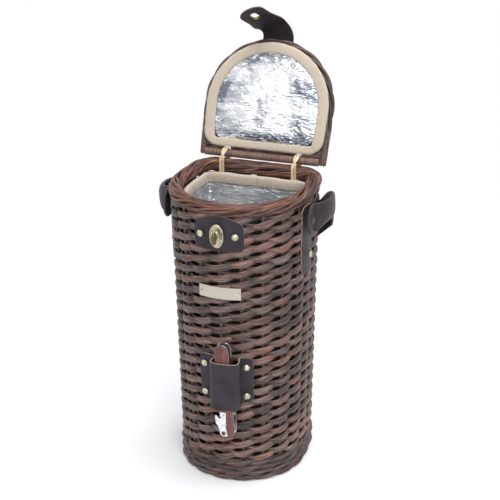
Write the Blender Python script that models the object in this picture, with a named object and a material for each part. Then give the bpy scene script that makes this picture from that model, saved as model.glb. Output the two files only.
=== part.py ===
"""Wicker basket for one wine bottle, with a hinged lid, a leather latch strap and a sleeved corkscrew.

Metres, +Z up. The front faces -Y, and the origin is the centre of the underside. The basket's plan is a
horseshoe: a half ellipse in front, and a flat back with round corners. The lid stands open. The lid and
its strap are drawn shut and buckled, and then turned about their hinges to where they rest.
"""

import math

import bmesh
import bpy
import numpy as np
from mathutils import Matrix, Vector

# Body of the basket
BODY_WIDTH = 0.160
BODY_DEPTH = 0.146
BODY_HEIGHT = 0.340
FRONT_RADIUS = 0.079
BACK_WIDTH = 0.144
BACK_CORNER = 0.026
FOOT_SCALE_SHARE = 0.915
WALL_THICKNESS = 0.0095
SEAT_GAP = 0.0003

# Weave of the wall
STAKE_COUNT = 20
WEAVE_ROWS = 48
ROD_RELIEF = 0.003
UNDER_DEPTH = 0.0024
BETWEEN_STAKES_SHARE = 0.45

# Foot, floor and rim
FOOT_HEIGHT = 0.026
FOOT_ROWS = 4
FOOT_PROUD = 0.001
FOOT_RELIEF = 0.002
BASE_THICKNESS = 0.006
BORDER_WIDTH = 0.016
BORDER_HEIGHT = 0.014
BORDER_PROUD = 0.0015
BORDER_RELIEF = 0.0016
BORDER_STRANDS = 3
BORDER_TURNS = 10
BORDER_SQUARE_POWER = 2.8

# Cool bag inside
LINER_THICKNESS = 0.0046
LINER_FLOOR = 0.006
HEM_THICKNESS = 0.0047
HEM_HEIGHT = 0.012
HEM_DROP = 0.0125

# Lid, drawn shut
LID_WIDTH = 0.1546
LID_SETBACK = 0.0100
LID_SPRING = 0.058
LEG_NARROWING = 0.0018
LID_OPEN_DEG = 113.0
LID_SEAT_GAP = 0.0005
HINGE_INSET = 0.0010
HINGE_LIFT = 0.0018
HINGE_CLEARANCE = 0.0004
BAR_RADIUS = 0.0042
BAR_WRAP_RELIEF = 0.0005
BAR_WRAPS = 14
HOOP_RADIUS = 0.004
HOOP_TAIL = 0.0025
PAD_THICKNESS = 0.005
PAD_CROWN = 0.003
LID_HEM_WIDTH = 0.0125
LID_HEM_INSET = 0.0045
PANEL_RELIEF = 0.002
PANEL_ROWS = 12
PANEL_STAKES = 6

# Cane hinge loops
LOOP_SPAN = 0.086
CANE_WIDTH = 0.005
CANE_THICKNESS = 0.0022
LOOP_LEG = 0.0122
NOTCH_MARGIN = 0.0012

# Turn lock and its leather plate
LEATHER = 0.0025
LATCH_DROP = 0.034
LATCH_PLATE_WIDTH = 0.0565
LATCH_PLATE_DROP = 0.018
LATCH_PLATE_RISE = 0.0215
LATCH_SHOULDER = 0.009
RIVET_RADIUS = 0.0036
RIVET_HEIGHT = 0.0018
LATCH_RIVET_SPAN = 0.0385
LOCK_WIDTH = 0.016
LOCK_HEIGHT = 0.027
LOCK_THICKNESS = 0.0015
BOSS_RADIUS = 0.0045
BOSS_HEIGHT = 0.0007
STEM_RADIUS = 0.0025
KNOB_LENGTH = 0.0144
KNOB_WIDTH = 0.0056
KNOB_THICKNESS = 0.004
STRAP_LOCK_GAP = 0.0005

# Latch strap
STRAP_THICKNESS = 0.0022
STRAP_ROOT_WIDTH = 0.036
STRAP_SLOT_WIDTH = 0.028
STRAP_TIP = 0.020
STRAP_BEND = 0.0150
STRAP_SPLIT = 0.0006
TAB_LENGTH = 0.034
TAB_RIVET_SPAN = 0.020
TAB_RIVET_SETBACK = 0.024
SLOT_WIDTH = 0.0076
SLOT_LENGTH = 0.0174
EYELET_WALL = 0.0012
EYELET_LIP = 0.0022
EYELET_LIP_HEIGHT = 0.0006
STRAP_LIFT_DEG = 5.0
STRAP_TWIST_DEG = 10.0
STRAP_LEAN_DEG = 30.0

# Nameplate
NAMEPLATE_WIDTH = 0.0484
NAMEPLATE_HEIGHT = 0.0140
NAMEPLATE_THICKNESS = 0.001
NAMEPLATE_DROP = 0.102
NAMEPLATE_PIN_RADIUS = 0.0011
NAMEPLATE_PIN_HEIGHT = 0.0006
NAMEPLATE_PIN_INSET = 0.003

# Corkscrew sleeve
SLEEVE_WIDTH = 0.062
SLEEVE_SHIFT = 0.005
SLEEVE_TOP = 0.160
SLEEVE_DIP = 0.0005
SLEEVE_BOTTOM = 0.1065
SLEEVE_TONGUE = 0.0045
SLEEVE_RIVET_SPAN = 0.0474
SLEEVE_RIVET_TOP = 0.1495
SLEEVE_RIVET_BOTTOM = 0.1135
TUNNEL_WIDTH = 0.0300
TUNNEL_SHIFT = 0.0022
TUNNEL_SQUARE_POWER = 5.0
TUNNEL_GAP = 0.0016

# Corkscrew
CORKSCREW_STANDOFF = 0.0028
CORKSCREW_BOTTOM = 0.066
CORKSCREW_LENGTH = 0.116
CORKSCREW_WIDTH = 0.016
CORKSCREW_SHIFT = 0.0035
CORKSCREW_LEAN_DEG = 3.0
SCALE_THICKNESS = 0.0016
CHANNEL_WALL = 0.0008
CHANNEL_GAP = 0.0064
PIN_RADIUS = 0.0015
PIN_CLEARANCE = 0.00025
PIN_HEAD = 0.0007
PIN_HEAD_RADIUS = 0.0024
LEVER_LENGTH = 0.0225
LEVER_TAIL = 0.0042
LEVER_PIVOT_INSET = 0.0035
LEVER_PIVOT_RISE = 0.0055
LEVER_SPREAD = 0.0088
LEVER_NOTCH = 0.0035
WORM_PIVOT_SHARE = 16 / 29
WORM_WIRE = 0.001
WORM_COIL = 0.002
WORM_LENGTH_SHARE = 0.625
WORM_TURNS = 5
WORM_SHIFT = 0.0035
BLADE_WORM_GAP = 0.010
BLADE_WIDTH = 0.0065
BLADE_THICKNESS = 0.0012
BLADE_PIVOT_DROP = 0.006

# Carry strap and its side tabs
CARRY_WIDTH = 0.032
CARRY_THICKNESS = 0.003
CARRY_DROP = 0.031
CARRY_SETBACK = 0.013
CARRY_END = 0.010
CARRY_FLAT = 0.006
CARRY_LEAD = 0.006
CARRY_BULGE = 0.033
CARRY_FLARE = 0.022
CARRY_SWEEP = 0.086
CARRY_CORNER_X = 0.073
CARRY_CORNER_SWELL = 0.010
CARRY_CORNER_DROP = 0.004
CARRY_BACK_X = 0.044
CARRY_DROOP = 0.076
CARRY_BACK_GAP = 0.0015
STUD_RADIUS = 0.0042
STUD_HEIGHT = 0.0016
SHANK_RADIUS = 0.002
SHANK_CLEARANCE = 0.0003
TAB_WIDTH = 0.024
TAB_SHIFT = 0.010
TAB_BOTTOM_DROP = 0.097
TAB_RIVET_SHIFT = 0.006
TAB_RIVET_DROP = 0.074

# Sampling
ROUND_SIDES = 10
RING_POINTS = 40
BORDER_POINTS = 50
BORDER_SECTION_POINTS = 10
DENSE_POINTS = 400
CUT_OVERRUN = 0.002

BROWN_WILLOW = (0.13, 0.065, 0.045)
STRAW_CANE = (0.72, 0.58, 0.33)
SILVER_FOIL = (0.75, 0.76, 0.78)
BEIGE_CLOTH = (0.70, 0.62, 0.50)
DARK_LEATHER = (0.055, 0.045, 0.055)
ANTIQUE_BRASS = (0.45, 0.42, 0.27)
POLISHED_STEEL = (0.80, 0.80, 0.82)
RED_WOOD = (0.27, 0.085, 0.065)

HALF_DEPTH = BODY_DEPTH / 2
LATCH_HEIGHT = BODY_HEIGHT - LATCH_DROP
NAMEPLATE_LEVEL = BODY_HEIGHT - NAMEPLATE_DROP
CARRY_LEVEL = BODY_HEIGHT - CARRY_DROP
TAB_BOTTOM = BODY_HEIGHT - TAB_BOTTOM_DROP
TAB_RIVET_LEVEL = BODY_HEIGHT - TAB_RIVET_DROP
WORM_PIVOT_RISE = CORKSCREW_LENGTH * WORM_PIVOT_SHARE
WORM_LENGTH = WORM_PIVOT_RISE * WORM_LENGTH_SHARE
BLADE_LENGTH = CORKSCREW_LENGTH - BLADE_PIVOT_DROP - WORM_PIVOT_RISE - BLADE_WORM_GAP
SPRING_Y = FRONT_RADIUS - HALF_DEPTH
BORDER_BOTTOM = BODY_HEIGHT - BORDER_HEIGHT
HINGE_Y = HALF_DEPTH - HINGE_INSET
HINGE_Z = BODY_HEIGHT + BAR_RADIUS + HINGE_LIFT
LID_FRONT_Y = LID_SETBACK - HALF_DEPTH
LID_SPRING_Y = HINGE_Y - LID_SPRING
LID_BOTTOM = BODY_HEIGHT + LID_SEAT_GAP
PANEL_BOTTOM = LID_BOTTOM + PAD_THICKNESS + SEAT_GAP
HOOP_Z = PANEL_BOTTOM + HOOP_RADIUS
LID_TOP = HOOP_Z + HOOP_RADIUS
LID_BACK_Y = HINGE_Y - BAR_RADIUS - 2 * HINGE_CLEARANCE - CANE_THICKNESS
STRAP_MID_Z = LID_TOP + SEAT_GAP + STRAP_THICKNESS / 2
STRAP_ROOT_Y = LID_FRONT_Y - STRAP_SPLIT


def clear_scene():
    """Remove every object of the start-up scene."""
    for item in list(bpy.data.objects):
        bpy.data.objects.remove(item)


def make_material(name, colour, roughness, metallic):
    """One plain Principled material."""
    material = bpy.data.materials.new(name)
    material.use_nodes = True
    shader = material.node_tree.nodes["Principled BSDF"]
    shader.inputs["Base Color"].default_value = (*colour, 1)
    shader.inputs["Roughness"].default_value = roughness
    shader.inputs["Metallic"].default_value = metallic
    return material


def make_object(name, vertices, faces, material):
    """A closed mesh object with its faces turned outwards and its round parts smooth."""
    mesh = bpy.data.meshes.new(name)
    mesh.from_pydata([tuple(map(float, vertex)) for vertex in vertices], [], faces)
    work = bmesh.new()
    work.from_mesh(mesh)
    bmesh.ops.recalc_face_normals(work, faces=work.faces)
    work.to_mesh(mesh)
    work.free()
    mesh.materials.append(material)
    mesh.shade_smooth()
    mesh.set_sharp_from_angle(angle=math.radians(40))
    item = bpy.data.objects.new(name, mesh)
    bpy.context.collection.objects.link(item)
    return item


def grid_faces(rows, columns, close_rows, close_columns):
    """Quads of a grid of rows by columns, closed on itself where asked."""
    faces = []
    for row in range(rows if close_rows else rows - 1):
        for column in range(columns if close_columns else columns - 1):
            a, b = row * columns, (row + 1) % rows * columns
            nearby = (column + 1) % columns
            faces.append((a + column, a + nearby, b + nearby, b + column))
    return faces


def make_ring(name, rings, material):
    """A closed band: rings of points round the basket, the last joined to the first."""
    rings = np.asarray(rings)
    rows, columns = rings.shape[:2]
    return make_object(name, rings.reshape(-1, 3), grid_faces(rows, columns, True, True), material)


def make_stack(name, rings, material):
    """A solid lofted through rings of points, its two ends closed by a fan to their middles."""
    rings = np.asarray(rings)
    rows, columns = rings.shape[:2]
    faces = grid_faces(rows, columns, False, True)
    first, last = rows * columns, rows * columns + 1
    for column in range(columns):
        nearby = (column + 1) % columns
        faces.append((first, nearby, column))
        faces.append((last, (rows - 1) * columns + column, (rows - 1) * columns + nearby))
    ends = np.array([rings[0].mean(axis=0), rings[-1].mean(axis=0)])
    return make_object(name, np.concatenate([rings.reshape(-1, 3), ends]), faces, material)


def make_sheet(name, front, back, material):
    """A sheet with thickness from two matching grids of points."""
    front, back = np.asarray(front), np.asarray(back)
    rows, columns = front.shape[:2]
    count = rows * columns
    faces = grid_faces(rows, columns, False, False)
    faces += [tuple(count + corner for corner in reversed(face)) for face in faces]
    rim = [column for column in range(columns)]
    rim += [row * columns + columns - 1 for row in range(1, rows)]
    rim += [(rows - 1) * columns + column for column in range(columns - 2, -1, -1)]
    rim += [row * columns for row in range(rows - 2, 0, -1)]
    for here, there in zip(rim, rim[1:] + rim[:1]):
        faces.append((there, here, here + count, there + count))
    points = np.concatenate([front.reshape(-1, 3), back.reshape(-1, 3)])
    return make_object(name, points, faces, material)


def make_plate(name, outline, thickness_from, thickness_to, material):
    """A flat plate: an outline in X and Z, carried along Y."""
    near = [(x, thickness_from, z) for x, z in outline]
    far = [(x, thickness_to, z) for x, z in outline]
    count = len(outline)
    faces = [tuple(range(count)), tuple(range(2 * count - 1, count - 1, -1))]
    for corner in range(count):
        nearby = (corner + 1) % count
        faces.append((nearby, corner, corner + count, nearby + count))
    return make_object(name, near + far, faces, material)


def circle(radius_a, radius_b, count, phase=0.0):
    """Points of an ellipse, as two rows of coordinates."""
    angle = np.linspace(0, 2 * math.pi, count, endpoint=False) + phase
    return radius_a * np.cos(angle), radius_b * np.sin(angle)


def sweep(path, width, height, sides, side_axis, scales=None):
    """Rings of an elliptic rod along a path. side_axis is a direction that the width stays square to."""
    path = np.asarray(path, float)
    tangent = np.gradient(path, axis=0)
    tangent /= np.linalg.norm(tangent, axis=1)[:, None]
    across = np.cross(tangent, side_axis)
    across /= np.linalg.norm(across, axis=1)[:, None]
    up = np.cross(across, tangent)
    a, b = circle(width / 2, height / 2, sides)
    scales = np.ones(len(path)) if scales is None else np.asarray(scales)
    section = a[None, :, None] * across[:, None, :] + b[None, :, None] * up[:, None, :]
    return path[:, None, :] + section * scales[:, None, None]


def dense_outline():
    """Half of the horseshoe plan at the rim, from the front centre round by +X to the back centre."""
    half = BODY_WIDTH / 2
    turn = np.linspace(-math.pi / 2, 0, DENSE_POINTS)
    front = np.stack([half * np.cos(turn), SPRING_Y + FRONT_RADIUS * np.sin(turn)], axis=1)
    back_run = HALF_DEPTH - SPRING_Y
    along = np.linspace(0, back_run - BACK_CORNER, DENSE_POINTS)[1:]
    narrowing = (half - BACK_WIDTH / 2) * (along / back_run) ** 2
    side = np.stack([half - narrowing, SPRING_Y + along], axis=1)
    corner_x = side[-1, 0] - BACK_CORNER
    turn = np.linspace(0, math.pi / 2, DENSE_POINTS)[1:]
    corner = np.stack([corner_x + BACK_CORNER * np.cos(turn),
                       HALF_DEPTH - BACK_CORNER + BACK_CORNER * np.sin(turn)], axis=1)
    back = np.stack([np.linspace(corner_x, 0, DENSE_POINTS)[1:], np.full(DENSE_POINTS - 1, HALF_DEPTH)], axis=1)
    return np.concatenate([front, side, corner, back])


HALF_OUTLINE = dense_outline()
HALF_ARC = np.concatenate([[0], np.cumsum(np.linalg.norm(np.diff(HALF_OUTLINE, axis=0), axis=1))])
HALF_TANGENT = np.gradient(HALF_OUTLINE, HALF_ARC, axis=0)
HALF_LENGTH = HALF_ARC[-1]
SIDE_ARC = HALF_ARC[DENSE_POINTS - 1]


def level_scale(height):
    """How wide the plan is at a height, as a share of the rim."""
    return FOOT_SCALE_SHARE + (1 - FOOT_SCALE_SHARE) * np.asarray(height) / BODY_HEIGHT


def on_wall(arc, height, out=0.0):
    """Points on the wall's outer face, and their outward normals.

    arc is the distance round the wall from the front centre, positive towards +X, out the distance off it.
    """
    arc, height, out = np.broadcast_arrays(np.asarray(arc, float), np.asarray(height, float), out)
    scale = level_scale(height)
    turn = (arc / scale + HALF_LENGTH) % (2 * HALF_LENGTH) - HALF_LENGTH
    side = np.where(turn < 0, -1.0, 1.0)
    run = np.abs(turn)
    x, y = (np.interp(run, HALF_ARC, HALF_OUTLINE[:, axis]) * scale for axis in (0, 1))
    along_x, along_y = (np.interp(run, HALF_ARC, HALF_TANGENT[:, axis]) for axis in (0, 1))
    size = np.hypot(along_x, along_y)
    normal = np.stack([side * along_y / size, -along_x / size, np.zeros_like(size)], axis=-1)
    point = np.stack([side * x, y, height], axis=-1)
    return point + normal * out[..., None], normal


def wall_ring(height, out, count=RING_POINTS):
    """A level ring of evenly spaced points at a distance off the wall's outer face."""
    arc = np.arange(count) / count * 2 * HALF_LENGTH * level_scale(height)
    return on_wall(arc, height, out)[0]


def wall_patch(name, arcs, bottoms, tops, offsets, thickness, levels, material):
    """A sheet that follows the wall: columns at the arcs, each from its bottom to its top.

    offsets are how far the sheet's back stands off the wall in each column.
    """
    share = np.linspace(0, 1, levels)[:, None]
    height = np.asarray(bottoms) + share * (np.asarray(tops) - np.asarray(bottoms))
    back, normal = on_wall(np.broadcast_to(arcs, height.shape), height, np.broadcast_to(offsets, height.shape))
    across = np.gradient(back, axis=1)
    face = np.cross(across, (0, 0, 1))
    face /= np.linalg.norm(face, axis=2)[..., None]
    return make_sheet(name, back + face * thickness, back, material)


def dome(name, centre, normal, radius, height, material, foot=0.0):
    """A rivet head: a round foot, a short side and a domed top, along the normal."""
    centre, normal = np.asarray(centre, float), np.asarray(normal, float)
    across = np.cross(normal, (0, 0, 1))
    across /= np.linalg.norm(across)
    up = np.cross(across, normal)
    rings = []
    for radius_share, height_share in ((1, 0), (1, 0.4), (0.75, 0.8), (0.3, 1)):
        a, b = circle(radius * radius_share, radius * radius_share, ROUND_SIDES)
        rings.append(centre + normal * (foot + height * height_share) + a[:, None] * across + b[:, None] * up)
    return make_stack(name, rings, material)


def make_empty(name, place, parent=None):
    """An empty on a joint's axis."""
    empty = bpy.data.objects.new(name, None)
    bpy.context.collection.objects.link(empty)
    empty.location = place
    empty.parent = parent
    return empty


def carry(empty, origin, *items):
    """Hang drawn pieces on an empty, whose drawn place is origin."""
    for item in items:
        item.data.transform(Matrix.Translation(-Vector(origin)))
        item.parent = empty


def make_cutter(item):
    """Turn an object into a hidden cutting tool."""
    item.hide_render = True
    item.display_type = 'WIRE'
    return item


def cut(item, *cutters):
    """Cut shapes out of an object."""
    for cutter in cutters:
        modifier = item.modifiers.new("cut", 'BOOLEAN')
        modifier.operation = 'DIFFERENCE'
        modifier.solver = 'EXACT'
        modifier.object = cutter


def build_wall(willow):
    """The wall: weavers pass over one stake and under the next, each row against the last.

    Even columns lie on a stake and odd ones between two. Odd rows run along a weaver's crown and even
    ones along the groove between two weavers.
    """
    bottom, top = FOOT_HEIGHT + SEAT_GAP, BORDER_BOTTOM - SEAT_GAP
    levels = np.linspace(bottom, top, 2 * WEAVE_ROWS + 1)
    columns = np.arange(2 * STAKE_COUNT)
    rings = []
    for row, height in enumerate(levels):
        if row % 2 == 0:
            depth = np.full(len(columns), ROD_RELIEF)
        else:
            weaver = row // 2
            over = (columns // 2 + weaver) % 2 == 0
            depth = np.where(over, 0.0, UNDER_DEPTH)
            depth = np.where(columns % 2 == 1, BETWEEN_STAKES_SHARE * UNDER_DEPTH, depth)
        rings.append(wall_ring(height, -depth, len(columns)))
    rings.append(wall_ring(top, -WALL_THICKNESS, len(columns)))
    rings.append(wall_ring(bottom, -WALL_THICKNESS, len(columns)))
    return make_ring("wall_weave", rings, willow)


def build_foot(willow):
    """The foot: rows of waling, whose strokes shift by one column from row to row."""
    levels = np.linspace(0, FOOT_HEIGHT, 2 * FOOT_ROWS + 1)
    columns = np.arange(RING_POINTS)
    rings = []
    for row, height in enumerate(levels):
        stroke = (columns + row // 2) % 4 == 3
        depth = np.where(stroke, FOOT_RELIEF, 0.0) if row % 2 else np.full(RING_POINTS, FOOT_RELIEF)
        rings.append(wall_ring(height, FOOT_PROUD - depth))
    rings.append(wall_ring(FOOT_HEIGHT, -WALL_THICKNESS))
    rings.append(wall_ring(0.0, -WALL_THICKNESS))
    return make_ring("foot_wale", rings, willow)


def build_floor(willow):
    """The woven floor, a flat slab inside the foot."""
    out = -WALL_THICKNESS - SEAT_GAP
    return make_stack("base_weave", [wall_ring(0.0, out), wall_ring(BASE_THICKNESS, out)], willow)


def build_border(willow):
    """The rim: a plaited border of rods that wind round it as they go."""
    share = np.arange(BORDER_SECTION_POINTS) / BORDER_SECTION_POINTS
    angle = 2 * math.pi * share
    power = 2 / BORDER_SQUARE_POWER
    wide = np.sign(np.cos(angle)) * np.abs(np.cos(angle)) ** power
    tall = np.sign(np.sin(angle)) * np.abs(np.sin(angle)) ** power
    turn = 2 * math.pi * BORDER_TURNS * np.arange(BORDER_POINTS) / BORDER_POINTS
    middle_out = BORDER_PROUD - BORDER_WIDTH / 2
    middle_height = BODY_HEIGHT - BORDER_HEIGHT / 2
    rings = []
    for point in range(BORDER_SECTION_POINTS):
        sunk = BORDER_RELIEF * (0.5 - 0.5 * np.cos(BORDER_STRANDS * angle[point] + turn))
        out = middle_out + (BORDER_WIDTH / 2 - sunk) * wide[point]
        height = middle_height + (BORDER_HEIGHT / 2 - sunk) * tall[point]
        arc = np.arange(BORDER_POINTS) / BORDER_POINTS * 2 * HALF_LENGTH * level_scale(height)
        rings.append(on_wall(arc, height, out)[0])
    return make_ring("rim_border", rings, willow)


def build_liner(foil):
    """The cool bag: a padded wall and floor inside the weave."""
    outer = -WALL_THICKNESS - SEAT_GAP
    inner = outer - LINER_THICKNESS
    bottom, top = BASE_THICKNESS + SEAT_GAP, BORDER_BOTTOM - SEAT_GAP
    rings = [wall_ring(bottom, outer), wall_ring(top, outer), wall_ring(top, inner),
             wall_ring(bottom + LINER_FLOOR, inner)]
    return make_stack("liner_bag", rings, foil)


def build_liner_hem(cloth):
    """The cloth hem round the bag's mouth, inside the bag and the rim."""
    outer = -WALL_THICKNESS - 2 * SEAT_GAP - LINER_THICKNESS
    inner = outer - HEM_THICKNESS
    top = BODY_HEIGHT - HEM_DROP
    bottom = top - HEM_HEIGHT
    round_off = HEM_THICKNESS / 3
    rings = [wall_ring(bottom, outer), wall_ring(top - round_off, outer), wall_ring(top, outer - round_off),
             wall_ring(top, inner + round_off), wall_ring(top - round_off, inner), wall_ring(bottom, inner)]
    return make_ring("liner_hem", rings, cloth)


def lid_outline(inset, back_y, count):
    """The lid's plan, drawn in by an inset: two straight legs from back_y and a half ellipse in front."""
    half = LID_WIDTH / 2 - inset
    reach = LID_SPRING_Y - LID_FRONT_Y - inset
    turn = np.linspace(0, math.pi, count)
    arc = np.stack([half * np.cos(turn), LID_SPRING_Y - reach * np.sin(turn)], axis=1)
    foot = half - LEG_NARROWING
    return np.concatenate([[(foot, back_y)], arc, [(-foot, back_y)]])


def level_loop(outline, height):
    """An outline at a height, as points in space."""
    return np.column_stack([outline, np.full(len(outline), height)])


def build_hoop(willow):
    """The lid's frame, one rod bent to a U, whose ends pass the hinge bar."""
    path = level_loop(lid_outline(HOOP_RADIUS, HINGE_Y + HOOP_TAIL, 22), HOOP_Z)
    return make_stack("lid_hoop", sweep(path, 2 * HOOP_RADIUS, 2 * HOOP_RADIUS, 8, (0, 0, 1)), willow)


def build_hinge_bar(willow):
    """The hinge bar between the frame's legs, bound with fine cane."""
    half = LID_WIDTH / 2 - LEG_NARROWING - 2 * HOOP_RADIUS - SEAT_GAP
    steps = np.arange(2 * BAR_WRAPS + 1)
    x = half * (2 * steps / (2 * BAR_WRAPS) - 1)
    path = np.column_stack([x, np.full(len(x), HINGE_Y), np.full(len(x), HINGE_Z)])
    scales = np.where(steps % 2 == 0, 1 - BAR_WRAP_RELIEF / BAR_RADIUS, 1.0)
    return make_stack("lid_hinge_bar", sweep(path, 2 * BAR_RADIUS, 2 * BAR_RADIUS, 8, (0, 0, 1), scales), willow)


def build_panel(willow):
    """The lid's woven panel inside the frame, with a plain underside."""
    half = LID_WIDTH / 2 - LEG_NARROWING - 2 * HOOP_RADIUS - SEAT_GAP
    reach = LID_SPRING_Y - LID_FRONT_Y - 2 * HOOP_RADIUS - SEAT_GAP
    rows, columns = 2 * PANEL_ROWS + 1, 2 * PANEL_STAKES + 1
    front_margin_share = 0.97
    y = np.linspace(LID_BACK_Y, LID_SPRING_Y - reach * front_margin_share, rows)
    ahead = np.clip((LID_SPRING_Y - y) / reach, 0, 1)
    width = half * np.sqrt(1 - ahead ** 2)
    top = LID_TOP - SEAT_GAP
    points = np.zeros((rows, columns, 3))
    for row in range(rows):
        x = np.linspace(-width[row], width[row], columns)
        over = (np.arange(columns) // 2 + row // 2) % 2 == 0
        depth = np.where(over, 0.0, PANEL_RELIEF / 2) if row % 2 else np.full(columns, PANEL_RELIEF)
        points[row] = np.column_stack([x, np.full(columns, y[row]), top - depth])
    count = rows * columns
    rim = [column for column in range(columns)]
    rim += [row * columns + columns - 1 for row in range(1, rows)]
    rim += [(rows - 1) * columns + column for column in range(columns - 2, -1, -1)]
    rim += [row * columns for row in range(rows - 2, 0, -1)]
    flat = points.reshape(-1, 3)
    under = flat[rim].copy()
    under[:, 2] = PANEL_BOTTOM
    faces = grid_faces(rows, columns, False, False)
    for step, here in enumerate(rim):
        nearby = (step + 1) % len(rim)
        faces.append((here, rim[nearby], count + nearby, count + step))
    faces.append(tuple(range(count, count + len(rim))))
    return make_object("lid_weave", np.concatenate([flat, under]), faces, willow)


def closed_lid_loop(inset, height, count):
    """A closed loop inside the lid's plan, with evenly spread points along its back edge too."""
    outline = lid_outline(inset, LID_BACK_Y - inset + LID_HEM_INSET, count)
    back = np.linspace(outline[-1], outline[0], 8)[1:-1]
    return level_loop(np.concatenate([outline, back]), height)


def build_lid_hem(cloth):
    """The cloth hem round the lid's pad: a flat, rounded band."""
    outer, inner = LID_HEM_INSET, LID_HEM_INSET + LID_HEM_WIDTH
    bottom, top = LID_BOTTOM, LID_BOTTOM + PAD_THICKNESS
    round_off = PAD_THICKNESS / 4
    count = 22
    rings = [closed_lid_loop(outer, top, count), closed_lid_loop(outer, bottom + round_off, count),
             closed_lid_loop(outer + round_off, bottom, count), closed_lid_loop(inner - round_off, bottom, count),
             closed_lid_loop(inner, bottom + round_off, count), closed_lid_loop(inner, top, count)]
    return make_ring("lid_hem", rings, cloth)


def build_pad(foil):
    """The lid's foil pad inside the hem, its face crowned downwards into the mouth."""
    edge = LID_HEM_INSET + LID_HEM_WIDTH + SEAT_GAP
    count = 22
    rings = [closed_lid_loop(edge, LID_BOTTOM + PAD_THICKNESS, count), closed_lid_loop(edge, LID_BOTTOM, count)]
    middle = rings[1].mean(axis=0)
    for width_share, crown_share in ((0.75, 0.55), (0.4, 0.9), (0.15, 1.0)):
        ring = middle + (rings[1] - middle) * width_share
        ring[:, 2] = LID_BOTTOM - PAD_CROWN * crown_share
        rings.append(ring)
    return make_stack("lid_pad", rings, foil)


def loop_path():
    """A cane hinge loop in Y and Z: up the rim's inner face, over the hinge bar and down the back."""
    half = CANE_THICKNESS / 2
    inner_y = HALF_DEPTH + BORDER_PROUD - BORDER_WIDTH - SEAT_GAP - half
    around = BAR_RADIUS + HINGE_CLEARANCE + half
    outer_y = max(HALF_DEPTH + BORDER_PROUD + SEAT_GAP + half, HINGE_Y + around)
    foot_z = BODY_HEIGHT - LOOP_LEG
    top_z = HINGE_Z + around
    spring_z = BODY_HEIGHT
    rise = np.linspace(0, math.pi / 2, 7)
    front = np.column_stack([HINGE_Y - (HINGE_Y - inner_y) * np.cos(rise), spring_z + (top_z - spring_z) * np.sin(rise)])
    fall = np.linspace(math.pi / 2, 0, 5)[1:]
    back = np.column_stack([HINGE_Y + (outer_y - HINGE_Y) * np.cos(fall), HINGE_Z + around * np.sin(fall)])
    return np.concatenate([[(inner_y, foot_z)], front, back, [(outer_y, foot_z)]])


def build_hinge_loop(name, x, cane):
    """One loop of pale cane that ties the hinge bar to the rim."""
    path = np.array([(x, y, z) for y, z in loop_path()])
    return make_stack(name, sweep(path, CANE_THICKNESS, CANE_WIDTH, 8, (1, 0, 0)), cane)


def build_loop_notches():
    """Cutters that leave room in the lid for the two hinge loops."""
    near = loop_path()[0][0] - CANE_THICKNESS / 2 - NOTCH_MARGIN
    half = CANE_WIDTH / 2 + NOTCH_MARGIN
    cutters = []
    for side, x in (("left", -LOOP_SPAN / 2), ("right", LOOP_SPAN / 2)):
        outline = [(x - half, LID_BOTTOM - CUT_OVERRUN), (x + half, LID_BOTTOM - CUT_OVERRUN),
                   (x + half, LID_TOP + CUT_OVERRUN), (x - half, LID_TOP + CUT_OVERRUN)]
        cutter = make_plate("notch_" + side, outline, near, HINGE_Y, None)
        cutters.append(make_cutter(cutter))
    return cutters


def stadium(width, length, count):
    """Points round a slot with round ends that stands upright, in X and Z."""
    radius = width / 2
    straight = length / 2 - radius
    turn = np.linspace(0, math.pi, count // 2)
    top = np.stack([radius * np.cos(turn), straight + radius * np.sin(turn)], axis=1)
    return np.concatenate([top, -top])


STRAP_MID_Y = -1 * (HALF_DEPTH * level_scale(LATCH_HEIGHT) + 2 * SEAT_GAP + LEATHER + LOCK_THICKNESS
                    + BOSS_HEIGHT + STRAP_LOCK_GAP + STRAP_THICKNESS / 2)


def strap_run():
    """The buckled strap's middle line in Y and Z, its half width and its direction, from root to tip."""
    bend_y = STRAP_MID_Y + STRAP_BEND
    turn = np.linspace(0, math.pi / 2, 6)
    bend = np.column_stack([bend_y - STRAP_BEND * np.sin(turn), STRAP_MID_Z - STRAP_BEND * (1 - np.cos(turn))])
    drop_from, drop_to = STRAP_MID_Z - STRAP_BEND, LATCH_HEIGHT - STRAP_TIP
    tip_radius = STRAP_SLOT_WIDTH / 2
    straight = np.linspace(drop_from, drop_to + tip_radius, 4)[1:]
    rounding = np.linspace(0, math.pi / 2, 6)[1:] * 0.96
    tip = drop_to + tip_radius - tip_radius * np.sin(rounding)
    z = np.concatenate([[STRAP_MID_Z], bend[:, 1], straight, tip])
    y = np.concatenate([[STRAP_ROOT_Y], bend[:, 0], np.full(len(straight) + len(tip), STRAP_MID_Y)])
    narrowing = np.clip((STRAP_MID_Z - z) / (STRAP_MID_Z - LATCH_HEIGHT - tip_radius), 0, 1)
    half = (STRAP_ROOT_WIDTH + (STRAP_SLOT_WIDTH - STRAP_ROOT_WIDTH) * narrowing) / 2
    half[-len(tip):] = tip_radius * np.cos(rounding)
    return np.column_stack([y, z]), half


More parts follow.
